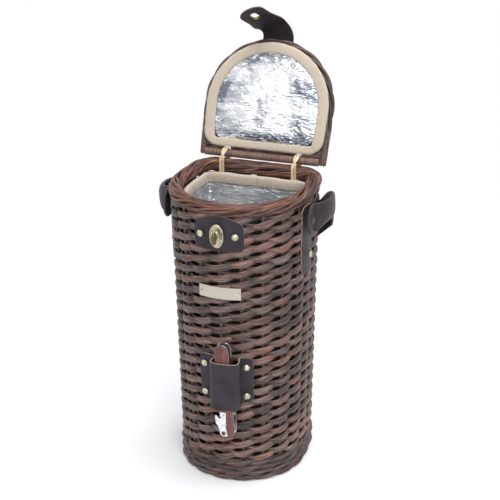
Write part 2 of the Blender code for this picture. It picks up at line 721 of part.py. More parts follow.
def build_latch_strap(leather):
    """The leather latch strap in front of the lid, with a slot for the turn lock.

    Its root end is cut at the angle that it leans to, so that it stands clear of its tab.
    """
    middle, half = strap_run()
    along = np.gradient(middle, axis=0)
    along /= np.linalg.norm(along, axis=1)[:, None]
    normal = np.column_stack([along[:, 1], -along[:, 0]]) * STRAP_THICKNESS / 2
    columns = 5
    share = np.linspace(-1, 1, columns)
    grids = []
    for sign in (1, -1):
        line = middle + sign * normal
        grid = np.zeros((len(line), columns, 3))
        grid[:, :, 0] = half[:, None] * share
        grid[:, :, 1:] = line[:, None, :]
        grids.append(grid)
    strap = make_sheet("latch_strap", grids[0], grids[1], leather)
    hole = stadium(SLOT_WIDTH + 2 * EYELET_WALL + 2 * SEAT_GAP, SLOT_LENGTH + 2 * EYELET_WALL + 2 * SEAT_GAP, 16)
    hole[:, 1] += LATCH_HEIGHT
    cutter = make_plate("strap_slot", hole, STRAP_MID_Y - STRAP_THICKNESS, STRAP_MID_Y + STRAP_THICKNESS, None)
    lean, reach, start = math.tan(math.radians(STRAP_LEAN_DEG)), STRAP_ROOT_WIDTH, STRAP_ROOT_Y - STRAP_SPLIT / 2
    corner = np.array([(reach, start + lean * reach), (reach, start + 2 * reach), (-reach, start + 2 * reach),
                       (-reach, start - lean * reach)])
    rings = [np.column_stack([corner, np.full(4, STRAP_MID_Z + rise)]) for rise in (-STRAP_BEND, STRAP_BEND)]
    trim = make_cutter(make_stack("strap_root_trim", rings, None))
    cut(strap, make_cutter(cutter), trim)
    return strap, cutter, trim


def build_eyelet(brass):
    """The brass eyelet in the strap's slot, with a lip on its outer face."""
    outer_face = STRAP_MID_Y - STRAP_THICKNESS / 2
    lip_from, lip_to = outer_face - SEAT_GAP, outer_face - SEAT_GAP - EYELET_LIP_HEIGHT
    inner_face = STRAP_MID_Y + STRAP_THICKNESS / 2
    profile = [(0.0, inner_face), (EYELET_WALL, inner_face), (EYELET_WALL, lip_from), (EYELET_LIP, lip_from),
               (EYELET_LIP, lip_to), (0.0, lip_to)]
    rings = []
    for grow, y in profile:
        shape = stadium(SLOT_WIDTH + 2 * grow, SLOT_LENGTH + 2 * grow, 16)
        rings.append([(x, y, z + LATCH_HEIGHT) for x, z in shape])
    return make_ring("strap_eyelet", rings, brass)


def build_strap_tab(leather):
    """The strap's fixed end on top of the lid."""
    share = np.linspace(-1, 1, 3)
    y = np.array([LID_FRONT_Y - STRAP_SPLIT / 2, LID_FRONT_Y + TAB_LENGTH])
    grid = np.zeros((2, 3, 3))
    grid[:, :, 0] = STRAP_ROOT_WIDTH / 2 * share
    grid[:, :, 1] = y[:, None]
    top, bottom = grid.copy(), grid.copy()
    top[:, :, 2] = STRAP_MID_Z + STRAP_THICKNESS / 2
    bottom[:, :, 2] = STRAP_MID_Z - STRAP_THICKNESS / 2
    return make_sheet("latch_strap_tab", top, bottom, leather)


def build_latch_plate(leather):
    """The leather plate under the turn lock: an arched top with a shoulder at each side."""
    half = LATCH_PLATE_WIDTH / 2
    share = np.array([-1, -0.93, -0.8, -0.62, -0.45, -0.2, 0, 0.2, 0.45, 0.62, 0.8, 0.93, 1])
    away = np.abs(share)
    arch = LATCH_PLATE_RISE - LATCH_SHOULDER * np.clip((away - 0.15) / 0.85, 0, 1) ** 1.4
    corner = np.where(away > 0.9, (away - 0.9) / 0.1, 0) ** 2
    tops = LATCH_HEIGHT + arch - LATCH_SHOULDER * 0.5 * corner
    bottoms = LATCH_HEIGHT - LATCH_PLATE_DROP + LATCH_SHOULDER * 0.45 * corner
    return wall_patch("latch_plate", share * half, bottoms, tops, np.full(len(share), SEAT_GAP), LEATHER, 4, leather)


def lock_face_y():
    """Where the turn lock's plate starts: on the latch plate's face at its centre."""
    return -1 * (HALF_DEPTH * level_scale(LATCH_HEIGHT) + 2 * SEAT_GAP + LEATHER)


def build_lock_plate(brass):
    """The turn lock's oval plate with a round boss for the knob."""
    back = lock_face_y() - SEAT_GAP
    face = back - LOCK_THICKNESS + SEAT_GAP
    bevel = LOCK_THICKNESS / 3
    half_w, half_h = LOCK_WIDTH / 2, LOCK_HEIGHT / 2
    sizes = [(half_w, half_h, back), (half_w, half_h, face + bevel), (half_w - bevel, half_h - bevel, face),
             (BOSS_RADIUS, BOSS_RADIUS, face), (BOSS_RADIUS, BOSS_RADIUS, face - BOSS_HEIGHT)]
    rings = []
    for width, height, y in sizes:
        a, b = circle(width, height, 20)
        rings.append(np.column_stack([a, np.full(20, y), b + LATCH_HEIGHT]))
    return make_stack("turn_lock_plate", rings, brass)


def build_knob(brass):
    """The turn knob: a stem and an upright bar that the strap's slot slips over."""
    foot = lock_face_y() - LOCK_THICKNESS - BOSS_HEIGHT - SEAT_GAP
    neck = STRAP_MID_Y - STRAP_THICKNESS / 2 - SEAT_GAP - EYELET_LIP_HEIGHT - STRAP_LOCK_GAP
    end = neck - KNOB_THICKNESS
    half_w, half_l = KNOB_WIDTH / 2, KNOB_LENGTH / 2
    crown_share = 0.7
    sizes = [(STEM_RADIUS, STEM_RADIUS, foot), (STEM_RADIUS, STEM_RADIUS, neck), (half_w, half_l, neck),
             (half_w, half_l, neck - KNOB_THICKNESS / 2), (half_w * crown_share, half_l * crown_share, end)]
    rings = []
    for width, height, y in sizes:
        a, b = circle(width, height, 16)
        rings.append(np.column_stack([a, np.full(16, y), b + LATCH_HEIGHT]))
    return make_stack("turn_knob", rings, brass)


def build_wall_rivet(name, arc, height, stand, radius, rise, brass):
    """A domed rivet head on a leather or brass sheet that lies on the wall."""
    point, normal = on_wall(arc, height, stand + SEAT_GAP)
    return dome(name, point, normal, radius, rise, brass)


def build_nameplate(brass):
    """The bare brass nameplate, bent to the wall, and its two pins."""
    half = NAMEPLATE_WIDTH / 2
    arcs = np.linspace(-half, half, 9)
    bottom, top = NAMEPLATE_LEVEL - NAMEPLATE_HEIGHT / 2, NAMEPLATE_LEVEL + NAMEPLATE_HEIGHT / 2
    wall_patch("nameplate", arcs, np.full(9, bottom), np.full(9, top), np.full(9, SEAT_GAP), NAMEPLATE_THICKNESS,
               2, brass)
    for side, sign in (("left", -1), ("right", 1)):
        build_wall_rivet("nameplate_pin_" + side, sign * (half - NAMEPLATE_PIN_INSET), NAMEPLATE_LEVEL,
                         SEAT_GAP + NAMEPLATE_THICKNESS, NAMEPLATE_PIN_RADIUS, NAMEPLATE_PIN_HEIGHT, brass)


CORKSCREW_DEPTH = 2 * (SCALE_THICKNESS + CHANNEL_WALL + SEAT_GAP) + CHANNEL_GAP
TUNNEL_DEPTH = CORKSCREW_STANDOFF + CORKSCREW_DEPTH + PIN_HEAD + SEAT_GAP + TUNNEL_GAP


def build_sleeve(leather):
    """The corkscrew's leather sleeve: two riveted flanges and a tunnel between them."""
    half = SLEEVE_WIDTH / 2
    tunnel = TUNNEL_WIDTH / 2
    turn = np.linspace(-math.pi / 2, math.pi / 2, 15)
    power = 2 / TUNNEL_SQUARE_POWER
    across = TUNNEL_SHIFT + tunnel * np.sign(np.sin(turn)) * np.abs(np.sin(turn)) ** power
    rise = TUNNEL_DEPTH * np.abs(np.cos(turn)) ** power
    arcs = np.concatenate([[-half], [(across[0] - half) / 2], across, [(across[-1] + half) / 2], [half]])
    offsets = SEAT_GAP + np.concatenate([[0, 0], rise, [0, 0]])
    lifted = offsets / TUNNEL_DEPTH
    tops = SLEEVE_TOP - SLEEVE_DIP * np.clip(lifted, 0, 1)
    bottoms = SLEEVE_BOTTOM - SLEEVE_TONGUE * np.clip(lifted, 0, 1)
    wall_patch("corkscrew_sleeve", SLEEVE_SHIFT + arcs, bottoms, tops, offsets, LEATHER, 3, leather)


def build_sleeve_rivets(brass):
    """Four rivets, two down each flange."""
    for side, sign in (("left", -1), ("right", 1)):
        for level, height in (("upper", SLEEVE_RIVET_TOP), ("lower", SLEEVE_RIVET_BOTTOM)):
            build_wall_rivet("sleeve_rivet_%s_%s" % (level, side), SLEEVE_SHIFT + sign * SLEEVE_RIVET_SPAN / 2,
                             height, SEAT_GAP + LEATHER, RIVET_RADIUS, RIVET_HEIGHT, brass)


def rounded_bar(half_width, bottom, top, count):
    """An upright bar with half-round ends, in X and Z, anticlockwise from the lower right."""
    turn = np.linspace(0, math.pi, count)
    up = np.column_stack([half_width * np.cos(turn), top - half_width + half_width * np.sin(turn)])
    down = np.column_stack([-half_width * np.cos(turn), bottom + half_width - half_width * np.sin(turn)])
    return np.concatenate([up, down])


def corkscrew_layers():
    """Where each layer of the corkscrew starts, from the wall outwards, along -Y from its back."""
    back_scale = 0.0
    back_wall = back_scale + SCALE_THICKNESS + SEAT_GAP
    inside = back_wall + CHANNEL_WALL
    front_wall = inside + CHANNEL_GAP
    front_scale = front_wall + CHANNEL_WALL + SEAT_GAP
    return back_scale, back_wall, inside, front_wall, front_scale


def build_channel(steel):
    """The corkscrew's folded steel channel, open on its right side for the worm and the blade."""
    _, back_wall, inside, front_wall, _ = corkscrew_layers()
    half = CORKSCREW_WIDTH / 2
    near, far = -back_wall, -front_wall - CHANNEL_WALL
    plate = rounded_bar(half, 0.0, CORKSCREW_LENGTH, 7)
    channel = make_plate("corkscrew_channel", plate, far, near, steel)
    web = -half + CHANNEL_WALL
    outline = [(web, -CUT_OVERRUN), (half + CUT_OVERRUN, -CUT_OVERRUN),
               (half + CUT_OVERRUN, CORKSCREW_LENGTH + CUT_OVERRUN), (web, CORKSCREW_LENGTH + CUT_OVERRUN)]
    slot = make_cutter(make_plate("channel_slot", outline, -front_wall, -inside, None))
    cut(channel, slot)
    return channel, slot


def lever_pivot():
    """The lever's pivot in the corkscrew's own X and Z."""
    return -CORKSCREW_WIDTH / 2 + LEVER_PIVOT_INSET, LEVER_PIVOT_RISE


def build_scales(wood):
    """The two wooden scales. The front one leaves room at its foot for the lever."""
    back_scale, _, _, _, front_scale = corkscrew_layers()
    half = CORKSCREW_WIDTH / 2
    back = make_plate("corkscrew_scale_back", rounded_bar(half, 0.0, CORKSCREW_LENGTH, 7),
                      -back_scale - SCALE_THICKNESS, -back_scale, wood)
    pivot_x, pivot_z = lever_pivot()
    recess_top = pivot_z + LEVER_LENGTH + LEVER_TAIL
    inner = pivot_x + LEVER_TAIL + SEAT_GAP
    turn = np.linspace(0, math.pi, 7)
    top = np.column_stack([half * np.cos(turn), CORKSCREW_LENGTH - half + half * np.sin(turn)])
    foot = np.linspace(math.pi / 2, 0, 4)
    toe = np.column_stack([half * np.sin(foot[::-1]), half - half * np.cos(foot[::-1])])
    toe = toe[toe[:, 0] > inner]
    toe_start = half - math.sqrt(half ** 2 - inner ** 2) if abs(inner) < half else 0.0
    outline = np.concatenate([top, [(-half, recess_top), (inner, recess_top), (inner, toe_start)], toe])
    front = make_plate("corkscrew_scale_front", outline, -front_scale - SCALE_THICKNESS, -front_scale, wood)
    return back, front


def build_lever(steel):
    """The boot lever: a round tail on its pivot, a waist, and a foot with a notch between two horns."""
    _, _, _, _, layer = corkscrew_layers()
    x, z = lever_pivot()
    turn = np.linspace(math.pi, 2 * math.pi, 7)
    tail = np.column_stack([x + LEVER_TAIL * np.cos(turn), z + LEVER_TAIL * np.sin(turn)])
    right, left = x + LEVER_TAIL, x - LEVER_SPREAD
    top = z + LEVER_LENGTH
    body = [(right - LEVER_TAIL * 0.25, z + LEVER_LENGTH * 0.45), (right, z + LEVER_LENGTH * 0.72),
            (right, top - LEVER_NOTCH * 0.4), (right - LEVER_TAIL * 0.4, top), (right - LEVER_TAIL * 0.8, top),
            (x - LEVER_SPREAD * 0.28, top - LEVER_NOTCH), (x - LEVER_SPREAD * 0.58, top - LEVER_NOTCH),
            (left + LEVER_SPREAD * 0.26, top), (left + LEVER_SPREAD * 0.08, top),
            (left, top - LEVER_NOTCH * 0.5), (left + LEVER_SPREAD * 0.06, z + LEVER_LENGTH * 0.5),
            (left + LEVER_SPREAD * 0.3, z + LEVER_LENGTH * 0.42)]
    outline = np.concatenate([tail, body])
    return make_plate("corkscrew_lever", outline, -layer - SCALE_THICKNESS, -layer, steel)


def worm_pivot():
    """The worm's pivot in the corkscrew's own X and Z."""
    return WORM_SHIFT, WORM_PIVOT_RISE


def build_worm(steel):
    """The worm: a wire that loops round its pin, runs down and winds to a point."""
    _, _, inside, _, _ = corkscrew_layers()
    x, z = worm_pivot()
    middle = -inside - CHANNEL_GAP / 2
    eye = PIN_RADIUS + PIN_CLEARANCE + WORM_WIRE
    turn = np.linspace(-0.25 * math.pi, 1.25 * math.pi, 10)
    ring = np.column_stack([x + eye * np.cos(turn + 0.5 * math.pi - 0.5 * math.pi), np.full(10, middle),
                            z + eye * np.sin(turn)])
    start = z - eye - 2 * WORM_WIRE
    steps = np.arange(WORM_TURNS * 8 + 1)
    angle = 2 * math.pi * steps / 8
    grow = np.clip(steps / 4, 0, 1)
    helix = np.column_stack([x + WORM_COIL * grow * np.sin(angle), middle + WORM_COIL * grow * np.cos(angle),
                             start - WORM_LENGTH * steps / steps[-1]])
    path = np.concatenate([ring[::-1][:-1][::-1], helix])
    path = np.concatenate([ring, helix])
    scales = np.ones(len(path))
    scales[-9:] = np.linspace(1, 0.15, 9)
    return make_stack("corkscrew_worm", sweep(path, 2 * WORM_WIRE, 2 * WORM_WIRE, 5, (0, 1, 0), scales), steel)


def blade_pivot():
    """The foil blade's pivot in the corkscrew's own X and Z."""
    return 0.0, CORKSCREW_LENGTH - BLADE_PIVOT_DROP


def build_blade(steel):
    """The foil blade, folded into the channel below its pivot."""
    _, _, inside, _, _ = corkscrew_layers()
    x, z = blade_pivot()
    middle = -inside - CHANNEL_GAP / 2
    half = BLADE_WIDTH / 2
    turn = np.linspace(0, math.pi, 6)
    outline = [(x + half * math.cos(a), z + half * math.sin(a)) for a in turn]
    outline += [(x - half, z - BLADE_LENGTH * 0.8), (x - half * 0.4, z - BLADE_LENGTH * 0.95),
                (x + half * 0.3, z - BLADE_LENGTH), (x + half, z - BLADE_LENGTH * 0.75)]
    return make_plate("corkscrew_blade", outline, middle - BLADE_THICKNESS / 2, middle + BLADE_THICKNESS / 2, steel)


def build_pin(name, place, steel):
    """A hinge pin through the corkscrew, with a low head in front."""
    front = -CORKSCREW_DEPTH - SEAT_GAP
    profile = [(PIN_RADIUS, 0.0), (PIN_RADIUS, front), (PIN_HEAD_RADIUS, front), (PIN_HEAD_RADIUS, front - PIN_HEAD / 2),
               (PIN_RADIUS, front - PIN_HEAD)]
    rings = []
    for radius, y in profile:
        a, b = circle(radius, radius, ROUND_SIDES)
        rings.append(np.column_stack([place[0] + a, np.full(ROUND_SIDES, y), place[1] + b]))
    return make_stack(name, rings, steel)


def build_pin_cutter(name, place):
    """The hole that a pin needs."""
    a, b = circle(PIN_RADIUS + PIN_CLEARANCE, PIN_RADIUS + PIN_CLEARANCE, ROUND_SIDES)
    outline = list(zip(place[0] + a, place[1] + b))
    return make_cutter(make_plate(name, outline, -CORKSCREW_DEPTH - CUT_OVERRUN, CUT_OVERRUN, None))


def build_corkscrew(steel, wood):
    """The folded corkscrew in its sleeve, and the axes of its slide and its lever."""
    back_y = -1 * (HALF_DEPTH * float(level_scale(CORKSCREW_BOTTOM)) + CORKSCREW_STANDOFF)
    lean = math.radians(CORKSCREW_LEAN_DEG)
    middle_rise = CORKSCREW_LENGTH / 2
    x = SLEEVE_SHIFT + CORKSCREW_SHIFT + middle_rise * math.sin(lean)
    wall_tilt = math.atan2(HALF_DEPTH * (1 - FOOT_SCALE_SHARE), BODY_HEIGHT)
    slide = make_empty("corkscrew_slide_axis", (x, back_y, CORKSCREW_BOTTOM))
    slide.rotation_euler = (wall_tilt, -lean, 0)
    channel, slot = build_channel(steel)
    back, front = build_scales(wood)
    lever, worm, blade = build_lever(steel), build_worm(steel), build_blade(steel)
    places = {"lever": lever_pivot(), "worm": worm_pivot(), "blade": blade_pivot()}
    pins, holes = {}, {}
    for name, place in places.items():
        pins[name] = build_pin("corkscrew_pin_" + name, place, steel)
        holes[name] = build_pin_cutter("hole_" + name, place)
    cut(channel, *holes.values())
    cut(back, *holes.values())
    cut(front, holes["worm"], holes["blade"])
    cut(lever, holes["lever"])
    cut(blade, holes["blade"])
    carry(slide, (0, 0, 0), channel, slot, back, front, worm, blade, *pins.values(), *holes.values())
    pivot = (places["lever"][0], 0, places["lever"][1])
    turn = make_empty("corkscrew_lever_axis", pivot, slide)
    carry(turn, pivot, lever)


def carry_root():
    """Where the carry strap turns at the right: its middle line over the side tab, level with the pivot."""
    stand = 2 * SEAT_GAP + LEATHER + CARRY_THICKNESS / 2
    return np.array([BODY_WIDTH / 2 * float(level_scale(CARRY_LEVEL)) + stand, SPRING_Y - CARRY_SETBACK, CARRY_LEVEL])


def carry_curve(points):
    """The right half of the carry strap's middle line: straight off its root, out, and in behind the back."""
    root = carry_root()
    back_z = CARRY_LEVEL - CARRY_DROOP
    back_y = HALF_DEPTH * float(level_scale(back_z + CARRY_WIDTH / 2)) + CARRY_BACK_GAP + CARRY_THICKNESS / 2
    start = root + (0, CARRY_FLAT, 0)
    handles = [start, start + (0, CARRY_LEAD, 0), start + (CARRY_BULGE, 0, 0), start + (CARRY_FLARE, CARRY_SWEEP, 0),
               (CARRY_CORNER_X, back_y + CARRY_CORNER_SWELL, CARRY_LEVEL - CARRY_CORNER_DROP),
               (CARRY_BACK_X, back_y, back_z), (0, back_y, back_z)]
    t = np.linspace(0, 1, points)[:, None]
    last = len(handles) - 1
    return sum(math.comb(last, k) * (1 - t) ** (last - k) * t ** k * handle for k, handle in enumerate(handles))


def build_carry_strap(leather):
    """The carry strap, fallen behind the basket, with a round end at each root and a hole for its stud."""
    half = carry_curve(16)
    lead = np.linspace(-0.98, 0, 6)[:-1]
    start = carry_root() + np.outer(lead, (0, CARRY_END, 0))
    run = np.concatenate([start, [carry_root()], half])
    widths = np.full(len(run), CARRY_WIDTH / 2)
    widths[:len(lead)] = CARRY_WIDTH / 2 * np.sqrt(1 - lead ** 2)
    line = np.concatenate([run, (run[:-1] * (-1, 1, 1))[::-1]])
    widths = np.concatenate([widths, widths[:-1][::-1]])
    along = np.gradient(line, axis=0)
    along /= np.linalg.norm(along, axis=1)[:, None]
    outward = np.column_stack([along[:, 1], -along[:, 0], np.zeros(len(line))])
    outward /= np.linalg.norm(outward, axis=1)[:, None]
    upward = np.cross(outward, along)
    share = np.array([-1, 1])
    middle = line[:, None, :] + share[None, :, None] * (upward * widths[:, None])[:, None, :]
    offset = (outward * CARRY_THICKNESS / 2)[:, None, :]
    strap = make_sheet("carry_strap", middle + offset, middle - offset, leather)
    root = carry_root()
    a, b = circle(SHANK_RADIUS + SHANK_CLEARANCE, SHANK_RADIUS + SHANK_CLEARANCE, ROUND_SIDES)
    reach = root[0] + CARRY_THICKNESS
    rings = [np.column_stack([np.full(ROUND_SIDES, x), root[1] + a, root[2] + b]) for x in (-reach, reach)]
    hole = make_cutter(make_stack("stud_holes", rings, None))
    cut(strap, hole)
    return strap, hole


def build_stud(side, sign, brass):
    """The stud that the strap turns on: a shank through the strap and a domed head."""
    root = carry_root()
    inner, outer = -CARRY_THICKNESS / 2 - SEAT_GAP / 2, CARRY_THICKNESS / 2 + SEAT_GAP
    profile = [(SHANK_RADIUS, inner), (SHANK_RADIUS, outer), (STUD_RADIUS, outer),
               (STUD_RADIUS, outer + STUD_HEIGHT * 0.4), (STUD_RADIUS * 0.7, outer + STUD_HEIGHT * 0.85),
               (STUD_RADIUS * 0.25, outer + STUD_HEIGHT)]
    rings = []
    for radius, x in profile:
        a, b = circle(radius, radius, ROUND_SIDES)
        rings.append(np.column_stack([np.full(ROUND_SIDES, sign * (root[0] + x)), root[1] + a, root[2] + b]))
    make_stack("strap_stud_" + side, rings, brass)


def build_side_tab(side, sign, leather, brass):
    """The leather tab under the strap's root, which runs down the side wall to a rivet."""
    scale = float(level_scale(CARRY_LEVEL))
    share = np.linspace(-1, 1, 7)
    top = CARRY_LEVEL + CARRY_WIDTH / 2 - SEAT_GAP - TAB_WIDTH * 0.2 * share ** 4
    bottom = TAB_BOTTOM + TAB_WIDTH * 0.35 * share ** 4
    arcs = sign * (SIDE_ARC * scale - TAB_SHIFT) + share * TAB_WIDTH / 2
    wall_patch("strap_tab_" + side, arcs, bottom, top, np.full(7, SEAT_GAP), LEATHER, 3, leather)
    rivet_arc = sign * (SIDE_ARC * float(level_scale(TAB_RIVET_LEVEL)) - TAB_RIVET_SHIFT)
    build_wall_rivet("strap_tab_rivet_" + side, rivet_arc, TAB_RIVET_LEVEL, SEAT_GAP + LEATHER, RIVET_RADIUS,
                     RIVET_HEIGHT, brass)


def build_lid(willow, foil, cloth, leather, brass):
    """The lid and the latch strap, drawn shut and then turned open."""
    hinge = (0, HINGE_Y, HINGE_Z)
    lid_axis = make_empty("lid_axis", hinge)
    lid_axis.rotation_euler = (-math.radians(LID_OPEN_DEG), 0, 0)
    hoop, bar, panel = build_hoop(willow), build_hinge_bar(willow), build_panel(willow)
    hem, pad, tab = build_lid_hem(cloth), build_pad(foil), build_strap_tab(leather)
    notches = build_loop_notches()
    cut(panel, *notches)
    cut(hem, *notches)
    rivets = []
    for side, sign in (("left", -1), ("right", 1)):
        place = (sign * TAB_RIVET_SPAN / 2, LID_FRONT_Y + TAB_RIVET_SETBACK, STRAP_MID_Z + STRAP_THICKNESS / 2 + SEAT_GAP)
        rivets.append(flat_dome("tab_rivet_" + side, place, brass))
    carry(lid_axis, hinge, hoop, bar, panel, hem, pad, tab, *notches, *rivets)
    root = Vector((0, STRAP_ROOT_Y, STRAP_MID_Z))
    strap_axis = make_empty("latch_strap_axis", root - Vector(hinge), lid_axis)
    lifted = Matrix.Rotation(math.radians(STRAP_TWIST_DEG), 4, 'Y') @ Matrix.Rotation(
        -math.radians(STRAP_LIFT_DEG), 4, 'X') @ Matrix.Rotation(-math.radians(STRAP_LEAN_DEG), 4, 'Z')
    strap_axis.rotation_euler = lifted.to_euler()
    strap, slot, trim = build_latch_strap(leather)
    carry(strap_axis, root, strap, slot, trim, build_eyelet(brass))


def flat_dome(name, place, brass):
    """A rivet head on a level face."""
    rings = []
    for radius_share, height_share in ((1, 0), (1, 0.4), (0.75, 0.8), (0.3, 1)):
        a, b = circle(RIVET_RADIUS * radius_share, RIVET_RADIUS * radius_share, ROUND_SIDES)
        rings.append(np.column_stack([place[0] + a, place[1] + b,
                                      np.full(ROUND_SIDES, place[2] + RIVET_HEIGHT * height_share)]))
    return make_stack(name, rings, brass)


def build_all():
    """Build every sub-part."""
    clear_scene()
    willow = make_material("willow", BROWN_WILLOW, 0.5, 0.0)
    cane = make_material("straw_cane", STRAW_CANE, 0.5, 0.0)
    foil = make_material("silver_foil", SILVER_FOIL, 0.25, 0.9)
    cloth = make_material("beige_cloth", BEIGE_CLOTH, 0.85, 0.0)
    leather = make_material("dark_leather", DARK_LEATHER, 0.45, 0.0)
    brass = make_material("antique_brass", ANTIQUE_BRASS, 0.35, 0.9)
    steel = make_material("polished_steel", POLISHED_STEEL, 0.15, 1.0)
    wood = make_material("red_wood", RED_WOOD, 0.45, 0.0)

    build_foot(willow)
    build_floor(willow)
    build_wall(willow)
    build_border(willow)
    build_liner(foil)
    build_liner_hem(cloth)
    build_hinge_loop("hinge_loop_left", -LOOP_SPAN / 2, cane)
    build_hinge_loop("hinge_loop_right", LOOP_SPAN / 2, cane)
    build_lid(willow, foil, cloth, leather, brass)
    build_latch_plate(leather)
    build_lock_plate(brass)
    for side, sign in (("left", -1), ("right", 1)):
        build_wall_rivet("latch_rivet_" + side, sign * LATCH_RIVET_SPAN / 2, LATCH_HEIGHT, SEAT_GAP + LEATHER,
                         RIVET_RADIUS, RIVET_HEIGHT, brass)
    lock = (0, lock_face_y(), LATCH_HEIGHT)
    carry(make_empty("turn_knob_axis", lock), lock, build_knob(brass))
    build_nameplate(brass)
    build_sleeve(leather)
    build_sleeve_rivets(brass)
    build_corkscrew(steel, wood)
    root = (0, SPRING_Y - CARRY_SETBACK, CARRY_LEVEL)
    carry(make_empty("carry_strap_axis", root), root, *build_carry_strap(leather))
    for side, sign in (("left", -1), ("right", 1)):
        build_side_tab(side, sign, leather, brass)
        build_stud(side, sign, brass)


build_all()
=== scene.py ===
# %% [markdown]
# # The looks of a wicker wine bottle basket
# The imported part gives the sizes, the joints and the hidden pieces. This script lays the visible
# surfaces over it: real woven rods, twisted cane, crumpled foil, stitched cloth, leather with
# pale cut edges, and worn brass. Every shape comes from a short formula on a numpy grid.

# %% Load the part
import math

import bmesh
import bpy
import numpy as np
from mathutils import Matrix, Vector


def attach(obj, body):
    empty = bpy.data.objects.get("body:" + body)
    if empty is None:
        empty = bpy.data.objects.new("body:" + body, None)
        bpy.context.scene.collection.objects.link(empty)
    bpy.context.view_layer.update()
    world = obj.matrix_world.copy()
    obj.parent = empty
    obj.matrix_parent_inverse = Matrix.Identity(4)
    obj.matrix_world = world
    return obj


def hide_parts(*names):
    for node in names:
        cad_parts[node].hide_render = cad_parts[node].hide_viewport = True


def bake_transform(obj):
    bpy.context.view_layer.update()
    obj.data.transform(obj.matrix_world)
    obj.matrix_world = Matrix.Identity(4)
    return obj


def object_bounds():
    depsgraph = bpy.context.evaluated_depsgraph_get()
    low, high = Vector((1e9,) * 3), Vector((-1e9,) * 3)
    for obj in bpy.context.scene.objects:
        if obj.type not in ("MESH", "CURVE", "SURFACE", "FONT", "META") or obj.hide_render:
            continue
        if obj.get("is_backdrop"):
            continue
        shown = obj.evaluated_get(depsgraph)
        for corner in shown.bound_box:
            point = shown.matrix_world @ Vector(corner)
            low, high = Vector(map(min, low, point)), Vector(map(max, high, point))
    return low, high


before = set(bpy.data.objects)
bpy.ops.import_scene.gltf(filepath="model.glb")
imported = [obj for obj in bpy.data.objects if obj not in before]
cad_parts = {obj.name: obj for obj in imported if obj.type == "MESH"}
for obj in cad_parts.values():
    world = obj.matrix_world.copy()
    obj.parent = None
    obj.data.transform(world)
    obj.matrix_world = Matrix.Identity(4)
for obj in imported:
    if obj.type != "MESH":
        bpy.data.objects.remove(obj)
loaded_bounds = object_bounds()
RANDOM = np.random.default_rng(11)

# %% [markdown]
# ## The basket's own measure
# The plan is a horseshoe: half an ellipse in front and a flat back with round corners. It is 8.5
# per cent smaller at the foot. `on_wall` turns a distance round the wall, a height and a distance
# off the wall into a point, so that everything that lies on the basket follows it.

# %% Sizes and the wall's formula
WIDTH, DEPTH, HEIGHT = 0.160, 0.146, 0.340
FRONT_RADIUS, BACK_WIDTH, BACK_CORNER = 0.079, 0.144, 0.026
FOOT_SHARE = 0.915
WALL, GAP = 0.0095, 0.0003
STAKES, ROWS = 20, 48
FOOT_HEIGHT, FOOT_ROWS = 0.026, 4
BORDER_WIDTH, BORDER_HEIGHT, BORDER_PROUD = 0.016, 0.014, 0.0015
HALF_DEPTH, SPRING = DEPTH / 2, FRONT_RADIUS - DEPTH / 2
LEATHER = 0.0025


def travelled(line):
    """How far along a line each of its points is."""
    return np.concatenate([[0], np.cumsum(np.linalg.norm(np.diff(line, axis=0), axis=1))])


def plan_outline(count=400):
    """Half of the plan at the rim, from the front centre round by +X to the back centre."""
    half = WIDTH / 2
    turn = np.linspace(-math.pi / 2, 0, count)
    front = np.stack([half * np.cos(turn), SPRING + FRONT_RADIUS * np.sin(turn)], axis=1)
    run = HALF_DEPTH - SPRING
    along = np.linspace(0, run - BACK_CORNER, count)[1:]
    side = np.stack([half - (half - BACK_WIDTH / 2) * (along / run) ** 2, SPRING + along], axis=1)
    corner_x = side[-1, 0] - BACK_CORNER
    turn = np.linspace(0, math.pi / 2, count)[1:]
    corner = np.stack([corner_x + BACK_CORNER * np.cos(turn),
                       HALF_DEPTH - BACK_CORNER + BACK_CORNER * np.sin(turn)], axis=1)
    back = np.stack([np.linspace(corner_x, 0, count)[1:], np.full(count - 1, HALF_DEPTH)], axis=1)
    return np.concatenate([front, side, corner, back])


OUTLINE = plan_outline()
OUTLINE_ARC = travelled(OUTLINE)
OUTLINE_WAY = np.gradient(OUTLINE, OUTLINE_ARC, axis=0)
HALF_LENGTH, SIDE_ARC = OUTLINE_ARC[-1], OUTLINE_ARC[399]


def level_scale(height):
    """How wide the plan is at a height, as a share of the rim."""
    return FOOT_SHARE + (1 - FOOT_SHARE) * np.asarray(height) / HEIGHT


def on_wall(arc, height, out=0.0):
    """Points at a distance round the wall, a height and a distance off it, and the outward normals."""
    arc, height, out = np.broadcast_arrays(np.asarray(arc, float), height, out)
    scale = level_scale(height)
    turn = (arc / scale + HALF_LENGTH) % (2 * HALF_LENGTH) - HALF_LENGTH
    side, run = np.where(turn < 0, -1.0, 1.0), np.abs(turn)
    x, y = (np.interp(run, OUTLINE_ARC, OUTLINE[:, axis]) * scale for axis in (0, 1))
    way_x, way_y = (np.interp(run, OUTLINE_ARC, OUTLINE_WAY[:, axis]) for axis in (0, 1))
    size = np.hypot(way_x, way_y)
    normal = np.stack([side * way_y / size, -way_x / size, np.zeros_like(size)], axis=-1)
    return np.stack([side * x, y, height], axis=-1) + normal * out[..., None], normal


def round_wall(share, height=HEIGHT):
    """A distance round the wall from its share, -0.5 to 0.5, of the way round at a height."""
    return share * 2 * HALF_LENGTH * level_scale(height)


print("rim measures %.0f mm round" % (2000 * HALF_LENGTH))

# %% [markdown]
# ## Grids into meshes
# A piece is a list of grids. A grid has the shape (copies, rows, columns, 3), and it can close on
# itself either way. Each grid may carry two values for its material: `rod`, a place along and
# across the strand in metres, and `tone`, a number that makes one strand differ from the next. On
# the wall's rods and stakes, the latch strap and the foil pad, `tone` also carries painted light and
# shade.

# %% Mesh builders
PIECES = {}


def unit(vectors):
    """Vectors of length one."""
    return vectors / np.maximum(np.linalg.norm(vectors, axis=-1, keepdims=True), 1e-12)


